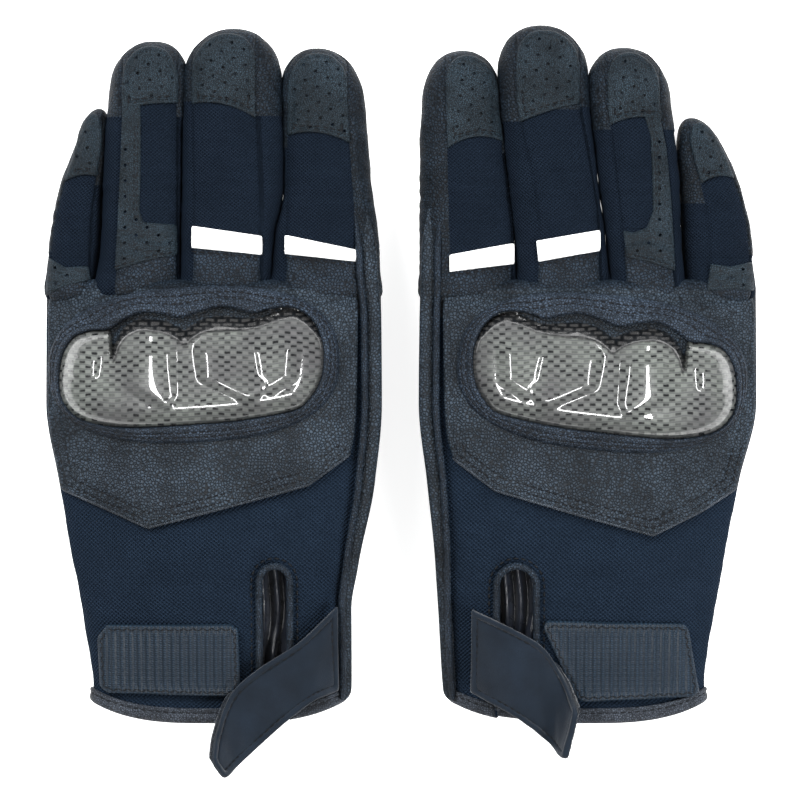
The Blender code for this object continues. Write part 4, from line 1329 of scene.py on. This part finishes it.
def build_guard(hand):
    """The knuckle guard. Its shade map is painted shade: it darkens the weave where the guard turns away into its
    steep upper side, and along the window's edge under the rim.
    """
    loop = resample(through(WINDOW, closed=True), 0.9, closed=True)
    outline = on_guard(loop + (loop - GUARD_MIDDLE) * 0.03, hand)       # it reaches under the rim

    def place(u, v, lift):
        """Low points follow the hand's normal, and the dome above them rises straight up."""
        base = hand.top(u, v, np.minimum(lift, DOME_FROM))
        base[..., 2] += np.maximum(lift - DOME_FROM, 0)
        return base

    def relief(u, v, depth):
        return guard_relief(*from_guard(u, v, hand), depth)

    made = panel(f"{hand.side}_guard_shell", outline, place, 2.7, 1.4, WEAVE, step=0.7, roll=0.0, bump=relief,
                 edge_step=0.8)
    mesh = made.data
    where = np.zeros(len(mesh.vertices) * 3)
    mesh.vertices.foreach_get("co", where)
    where = where.reshape(-1, 3) / MM - ORIGIN
    a, b = from_guard(where[:, 0], where[:, 1], hand)
    beyond = b - CREST(a)[..., 0]
    rim = distance(np.stack([a, b], axis=1), loop)
    # Painted shade: dark above the crest line, where the guard falls away steeply, and in a band along the
    # window's edge where it goes under the rim.
    shade = smooth(beyond / 0.7 + 0.5)
    shade = np.maximum(shade, 0.8 * smooth((1.5 - rim) / 1.2) * smooth((a + 108) / 10))
    mesh.attributes.new("shade", "FLOAT", "POINT").data.foreach_set("value", shade.astype(np.float32))
    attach(made, f"{hand.side}_hand")
    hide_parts(f"{hand.side}_knuckle_guard")
    pad = panel(f"{hand.side}_guard_foam", on_guard(loop, hand), hand.top, 1.5, 0.6, PALM, step=4.0, roll=0.5,
                edge_step=2.0)
    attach(pad, f"{hand.side}_hand")
    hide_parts(f"{hand.side}_guard_pad")


# The hook tape's corners.
PATCHES = {
    "left": [(-101.1, -76.6), (-58.8, -76.2), (-56.0, -78.0), (-55.5, -98.0), (-57.6, -101.4), (-101.0, -100.2),
             (-103.4, -98.0), (-104.2, -80.8)],
    "right": [(50.0, -75.0), (97.2, -76.2), (98.8, -78.2), (102.4, -99.6), (100.6, -101.6), (63.0, -103.4),
              (60.8, -102.0), (49.0, -77.4)],
}


def build_patch(hand):
    """The hook tape: moulded ribs, a flat border and a zigzag seam."""
    outline = resample(PATCHES[hand.side], 1.0, closed=True)
    if hand.way < 0:
        outline = outline[::-1]

    def relief(u, v, depth):
        wave = 0.30 * np.cos(u * 2 * math.pi / 2.9) + 0.08 * np.cos(v * 2 * math.pi / 1.9)
        return wave * smooth((depth - 2.4) / 1.0)

    made = panel(f"{hand.side}_hook_tape", outline, hand.top, 1.9, 0.2, HOOKS, step=0.62, roll=0.5, bump=relief,
                 edge_step=0.8)
    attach(made, f"{hand.side}_hand")
    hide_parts(f"{hand.side}_hook_patch")
    stitches((hand.side, "hand"), inset(resample(outline, 0.4, closed=True), 1.4), hand.top, lift=2.0, length=1.5,
             gap=0.1, slant=0.5, radius=0.24)


LINING_LIFT = -3.6       # how deep the lining lies in the slit


def build_slit(hand):
    """Piping round the slit, and the shiny lining folded behind it."""
    x, half, top = SLITS[hand.side]
    path = resample(slit_path(hand.side, 0.3), 1.2)
    path = path[path[:, 1] > -107.0]
    piping = tube(f"{hand.side}_slit_piping", hand.top(*path.T, 0.5), 1.25, WELT)
    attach(piping, f"{hand.side}_hand")
    outer = resample(slit_path(hand.side, 2.9), 0.4)
    outer = outer[outer[:, 1] > -106.0]
    stitches((hand.side, "hand"), outer, hand.top, lift=0.1)
    ys = np.linspace(top + 6, -103.0, 46)
    xs = np.linspace(-half - 3.5, half + 3.5, 61)
    rings, uvs = [], []
    for y in ys:
        fold = 1.25 * np.cos((xs + 1.2 * np.sin(y / 9.0)) * 2 * math.pi / 4.6) - 0.5 * np.cos(xs * 1.1 + y / 6.0)
        rings.append(hand.top(x + xs, np.full(len(xs), y), LINING_LIFT + fold))
        uvs.append(np.stack([xs * 1.5, np.full(len(xs), y)], axis=1))
    folds = loft(f"{hand.side}_slit_lining", rings, uvs, [LINING], start="open", end="open", around=False)
    thicken(folds, 0.6, 0)
    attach(folds, f"{hand.side}_hand")
    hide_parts(f"{hand.side}_slit_gusset")


def build_welts(hand):
    """The raised seams down the thumb side, a narrow welt and a flat band. Both run on along the index finger."""
    finger = FINGERS[(hand.side, "index")]
    ys = np.linspace(70.0, -103.0, 130)
    # share of the half width at the knuckles, at the cuff and on the finger, radius, lift, flatness, finish
    lines = {"welt": (0.885, 0.955, 0.60, 1.15, 2.2, 0.9, WELT),
             "band": (0.945, 0.985, 0.80, 2.7, 0.9, 0.5, LOWER)}
    for name, (first, last, on_finger, radius, lift, flat, finish) in lines.items():
        at = np.minimum(ys, KNUCKLE_Y)
        middle, half_width, *_ = hand.section(at)
        share = mix(first, last, smooth((-20 - ys) / 60))
        on_hand = hand.top(middle + hand.way * share * half_width, at, lift)
        on_hand[:, 1] = ys
        # It goes over to the finger between y 30 and y 46.
        edge = finger.middle(ys)[0] + hand.way * on_finger * finger.halves(ys)[0]
        over = finger.top(edge, ys, lift * mix(0.5, -0.3, smooth((ys - 48) / 20)))
        path = mix(on_hand, over, smooth((ys - 30) / 16)[:, None])
        piece = tube(f"{hand.side}_thumb_side_{name}", path, radius, finish, sides=14, flat=flat, taper=14)
        bend_at_joint(piece)
        if name == "welt":
            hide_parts(f"{hand.side}_side_welt")


def build_binding(hand):
    """Leather tape folded over the cuff's edge, with a row of stitches in a shallow groove."""
    x, half, _ = SLITS[hand.side]
    middle, half_width, *_ = hand.section(-107.0)
    here = (x - middle) / half_width * hand.way
    gap = (half + 0.8) / half_width
    # It runs right round from one side of the slit to the other.
    angles = np.linspace(angle_at(here - gap, HAND_POWER), 360 + angle_at(here + gap, HAND_POWER), 220)
    low = hem_y(oval(angles, 1, 1, HAND_POWER)[0])
    # along the glove, and outwards from its surface
    profile = [(4.6, 0.0), (4.7, 0.5), (4.4, 0.95), (3.7, 1.05), (3.0, 0.7), (2.3, 1.15), (1.2, 1.35), (0.3, 1.1),
               (-0.4, 0.4), (-0.6, -0.6), (-0.3, -1.5), (0.5, -2.1), (1.8, -2.1), (3.0, -1.9), (3.9, -1.2)]
    rings, uvs = [], []
    for along_y, out in profile:
        line = hand.point(angles, low + along_y, out)
        line[:, 2] = np.maximum(line[:, 2], ON_FLOOR)
        rings.append(line)
        uvs.append(np.stack([reach_of(rings[0]), np.full(len(line), along_y + out)], axis=1))
    rings, uvs = np.array(rings).transpose(1, 0, 2), np.array(uvs).transpose(1, 0, 2)
    made = loft(f"{hand.side}_cuff_tape", rings, uvs, [BINDING])
    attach(made, f"{hand.side}_hand")
    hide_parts(f"{hand.side}_cuff_binding")
    steps = reach_of(hand.point(angles, low + 3.0, 0.7))
    lift = 0.75

    def by_reach(u, v, lifts):
        """u along the row of stitches, which the floor holds up."""
        angle, along_y = np.interp(u, steps, angles), np.interp(u, steps, low) + 3.0
        place = hand.point(angle, along_y, lifts)
        place[..., 2] += np.maximum(3 * ON_FLOOR - hand.point(angle, along_y, lift)[..., 2], 0)
        return place

    stitches((hand.side, "hand"), np.stack([steps, np.zeros_like(steps)], axis=1), by_reach, lift=lift)


# Rows across each strap from its root: x and y of its upper and its lower edge, and its height above the hand.
STRAPS = {
    "left": [(-24.0, -69.0, -24.0, -98.6, 5.2), (-34.8, -82.3, -30.2, -103.0, 4.0),
             (-49.3, -91.9, -39.5, -110.0, 4.2), (-58.3, -100.2, -48.4, -118.0, 5.0),
             (-63.0, -112.6, -55.4, -124.4, 9.5), (-64.6, -123.0, -60.0, -129.4, 15.0)],
    "right": [(25.5, -70.2, 25.5, -99.0, 5.2), (38.3, -77.8, 38.0, -107.5, 4.0), (48.6, -84.0, 45.6, -112.6, 4.2),
              (54.6, -92.6, 50.6, -117.0, 5.4), (58.0, -101.0, 53.6, -120.6, 11.0),
              (59.6, -106.0, 55.6, -122.6, 17.0)],
}


PILE_FROM = 0.36         # the share of the strap's length at which its loop pile starts


def build_strap(hand):
    """The wrist strap: napped face, turned edges, a stitched border and loop pile below."""
    upper, lower = [], []
    for k, (ax, ay, bx, by, lift) in enumerate(STRAPS[hand.side]):
        if k == 0:
            a, b = hand.top([ax, bx], [ay, by], lift)
        else:
            height = max(hand.height(ax, max(ay, CUFF_Y)), hand.height(bx, max(by, CUFF_Y)))
            a, b = np.array([ax, ay, height + lift + 0.6]), np.array([bx, by, height + lift])
        upper.append(a)
        lower.append(b)
    upper, lower = through(upper, parts=16), through(lower, parts=16)
    middle = (upper + lower) / 2
    reach = reach_of(middle)
    width = np.linalg.norm(upper - lower, axis=1)
    total = reach[-1]

    def surface(u, v):
        """u along the strap, v across it as a share of half its width."""
        a = np.stack([np.interp(u, reach, upper[:, k]) for k in range(3)], axis=-1)
        b = np.stack([np.interp(u, reach, lower[:, k]) for k in range(3)], axis=-1)
        return (a + b) / 2 + (a - b) / 2 * v[..., None]

    def place(u, v, lift):
        u, v, lift = (np.asarray(q, float) for q in (u, v, lift))
        half = np.interp(u, reach, width) / 2
        share = np.clip(v / half, -1.15, 1.15)
        e = 0.6
        du = surface(np.clip(u + e, 0, total), share) - surface(np.clip(u - e, 0, total), share)
        dv = surface(u, np.full_like(u, 1.0)) - surface(u, np.full_like(u, -1.0))
        normal = np.cross(du, dv)
        normal *= np.sign(normal[..., 2:3]) / np.linalg.norm(normal, axis=-1, keepdims=True)
        return surface(u, share) + normal * lift[..., None]

    us = np.linspace(0.0, total, 60)
    halves = np.interp(us, reach, width) / 2
    tip = np.clip((us - total + 3.0) / 3.0, 0, 1)
    shrink = halves - 1.6 * (1 - np.sqrt(1 - tip**2))
    outline = np.vstack([np.stack([us, -shrink], axis=1), np.stack([us, shrink], axis=1)[::-1]])

    def relief(u, v, depth):
        soft = 0.25 * ripple(u, v, 11, ((17.0, 1.0), (7.0, 0.5)))
        return soft - 0.5 * smooth((depth - 1.8) / 0.5) + 0.1

    face = panel(f"{hand.side}_strap_face", outline, place, 0.3, -1.3, NAP, step=1.5, roll=0.6, bump=relief,
                 seams=(2.2,), edge_step=1.0)
    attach(face, f"{hand.side}_strap")
    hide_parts(f"{hand.side}_strap")
    border = inset(resample(outline, 0.4, closed=True), 2.2)
    stitches((hand.side, "strap"), border, place, lift=-0.25, closed=True)
    start = total * PILE_FROM
    below_outline = outline[outline[:, 0] > start]
    below_outline = np.clip(below_outline * (1, 0.965), [start, -100], [total - 0.8, 100])
    # Towards the tip the pile stands out past the upper edge, a little ragged.
    beyond = smooth((below_outline[:, 0] / total - 0.6) / 0.1) * (below_outline[:, 1] > 0)
    below_outline[:, 1] += beyond * (1.5 + 0.25 * ripple(below_outline[:, 0], 0, 23, ((2.6, 1.0), (1.7, 1.0))))

    def fuzz(u, v, depth):
        return -0.35 * np.abs(ripple(u, v, 3, ((1.7, 1.0), (0.9, 0.6))))

    def place_below(u, v, lift):
        return place(u, v, -lift)

    under = panel(f"{hand.side}_strap_pile", below_outline, place_below, 2.3, 1.35, PILE, step=1.2, roll=0.4,
                  bump=fuzz, edge_step=0.9)
    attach(under, f"{hand.side}_strap")
    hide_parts(f"{hand.side}_strap_loop")


THUMB_LENGTH, THUMB_TIP = 60.0, 13.0            # its length, and the length over which its tip rounds off
THUMB_HALVES = (13.5, 11.0, 6.0)                 # half its width at the root and the tip, and half its thickness


def build_thumb(hand):
    """The thumb, folded flat under the palm and clear of it. It starts just behind its hinge."""
    root = np.array(THUMB_ROOT) * (hand.way, 1, 1)
    ahead = np.array([-hand.way * 0.94, 0.34, 0.0])
    ahead /= np.linalg.norm(ahead)
    side = np.array([-ahead[1], ahead[0], 0.0])
    straight = THUMB_LENGTH - THUMB_TIP
    turn = np.sin(np.linspace(0, math.pi / 2, 16)[1:])
    wide, narrow, thick = THUMB_HALVES
    angles = np.linspace(0, 360, 49)[:-1]
    rings, uvs, kinds = [], [], []
    for d in np.concatenate([np.linspace(-5.5, straight, 44), straight + THUMB_TIP * turn * 0.999]):
        t = np.clip((d - straight) / THUMB_TIP, 0, 1)
        rounding = math.sqrt(max(1 - t**2.2, 0.0))
        root_end = 1.0 if d > 0 else math.sqrt(max(1 - (d / 6.2) ** 2, 0.0))
        half = mix(wide, narrow, min(max(d, 0) / 40, 1.0)) * rounding * (0.5 + 0.5 * root_end)
        dx, dz = oval(angles, half, thick * rounding**0.8 * root_end, FINGER_POWER)
        folds = 1 + 0.02 * ripple(angles * 0.1, np.full(len(angles), d), 17)
        rings.append(root + ahead * d + side * (dx * folds)[:, None] + np.outer(dz * folds, (0, 0, 1)))
        uvs.append(np.stack([np.radians(angles) * half, np.full(len(angles), d)], axis=1))
        kinds.append(np.where((angles > 10) & (angles < 170), 0, 1))
    made = loft(f"{hand.side}_thumb", rings, uvs, [PALM, SIDE], kinds)
    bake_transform(made)
    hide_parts(f"{hand.side}_thumb_palm", f"{hand.side}_thumb_back")


for hand_side, the_hand in HANDS.items():
    build_shell(the_hand)
    build_back_leather(the_hand)
    build_rim(the_hand)
    build_guard(the_hand)
    build_patch(the_hand)
    build_slit(the_hand)
    build_welts(the_hand)
    build_binding(the_hand)
    build_strap(the_hand)
    build_thumb(the_hand)
    for finger_name in GLOVES[hand_side]["fingers"]:
        the_finger = build_finger(the_hand, finger_name)
        if (hand_side, finger_name) in STRIPS:
            build_strip(the_finger)
    build_leather_strips(the_hand)

for group in list(THREADS):
    owner, part = group
    body = {"hand": f"{owner}_hand", "strap": f"{owner}_strap"}.get(part) or f"{owner}_{part}"
    sewn = make_stitches(group, f"{owner}_{part}_stitching", THREAD)
    if part == "strip":
        bend_at_joint(sewn)
    else:
        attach(sewn, body)


# ---------------------------------------------------------------- setting

def area_light(name, place, size, power, mirrored=False):
    """A rectangular lamp aimed at the gloves. Only a mirrored one shows in reflections, and only there."""
    data = bpy.data.lights.new(name, "AREA")
    data.shape, data.size, data.size_y = "RECTANGLE", size[0], size[1]
    data.energy = power
    light = bpy.data.objects.new(name, data)
    bpy.context.scene.collection.objects.link(light)
    light.location = place
    light.rotation_euler = (-Vector(place)).to_track_quat("-Z", "Y").to_euler()
    light.visible_glossy, light.visible_diffuse = mirrored, not mirrored


bpy.ops.mesh.primitive_plane_add(size=6.0, location=(0, 0, 0))
floor = bpy.context.active_object
floor.name = "floor"
ground = Finish("floor", 0.9, Base_Color=(0.93, 0.93, 0.93, 1), Emission_Color=(1, 1, 1, 1),
                Emission_Strength=0.8)
floor.data.materials.append(ground.material)

world = bpy.data.worlds.new("soft_room")
world.use_nodes = True
background = world.node_tree.nodes["Background"]
background.inputs["Color"].default_value = (1, 1, 1, 1)
background.inputs["Strength"].default_value = 0.42
bpy.context.scene.world = world
area_light("soft_key", (-0.9, 0.9, 0.9), (0.9, 0.9), 40)
area_light("soft_fill", (1.0, -0.7, 0.9), (0.9, 0.9), 26)
area_light("soft_back", (0.8, 1.0, 0.8), (0.7, 0.7), 20)
# Narrow lamps about 25 degrees from straight above draw the thin highlights on the guards' facets.
for lamp, place in (("left", (-0.42, 0.02, 0.9)), ("right", (0.42, 0.02, 0.9)), ("front", (0.0, -0.42, 0.9))):
    area_light(f"spark_{lamp}", place, (0.6, 0.08), 9, mirrored=True)
bpy.context.scene.view_settings.view_transform = "Standard"

camera_data = bpy.data.cameras.new("camera")
camera_data.lens = 300
camera_data.clip_end = 20
camera = bpy.data.objects.new("camera", camera_data)
bpy.context.scene.collection.objects.link(camera)
camera.location = (0.0005, 0.0013, 2.326)
camera.rotation_euler = (0, 0, 0)
bpy.context.scene.camera = camera
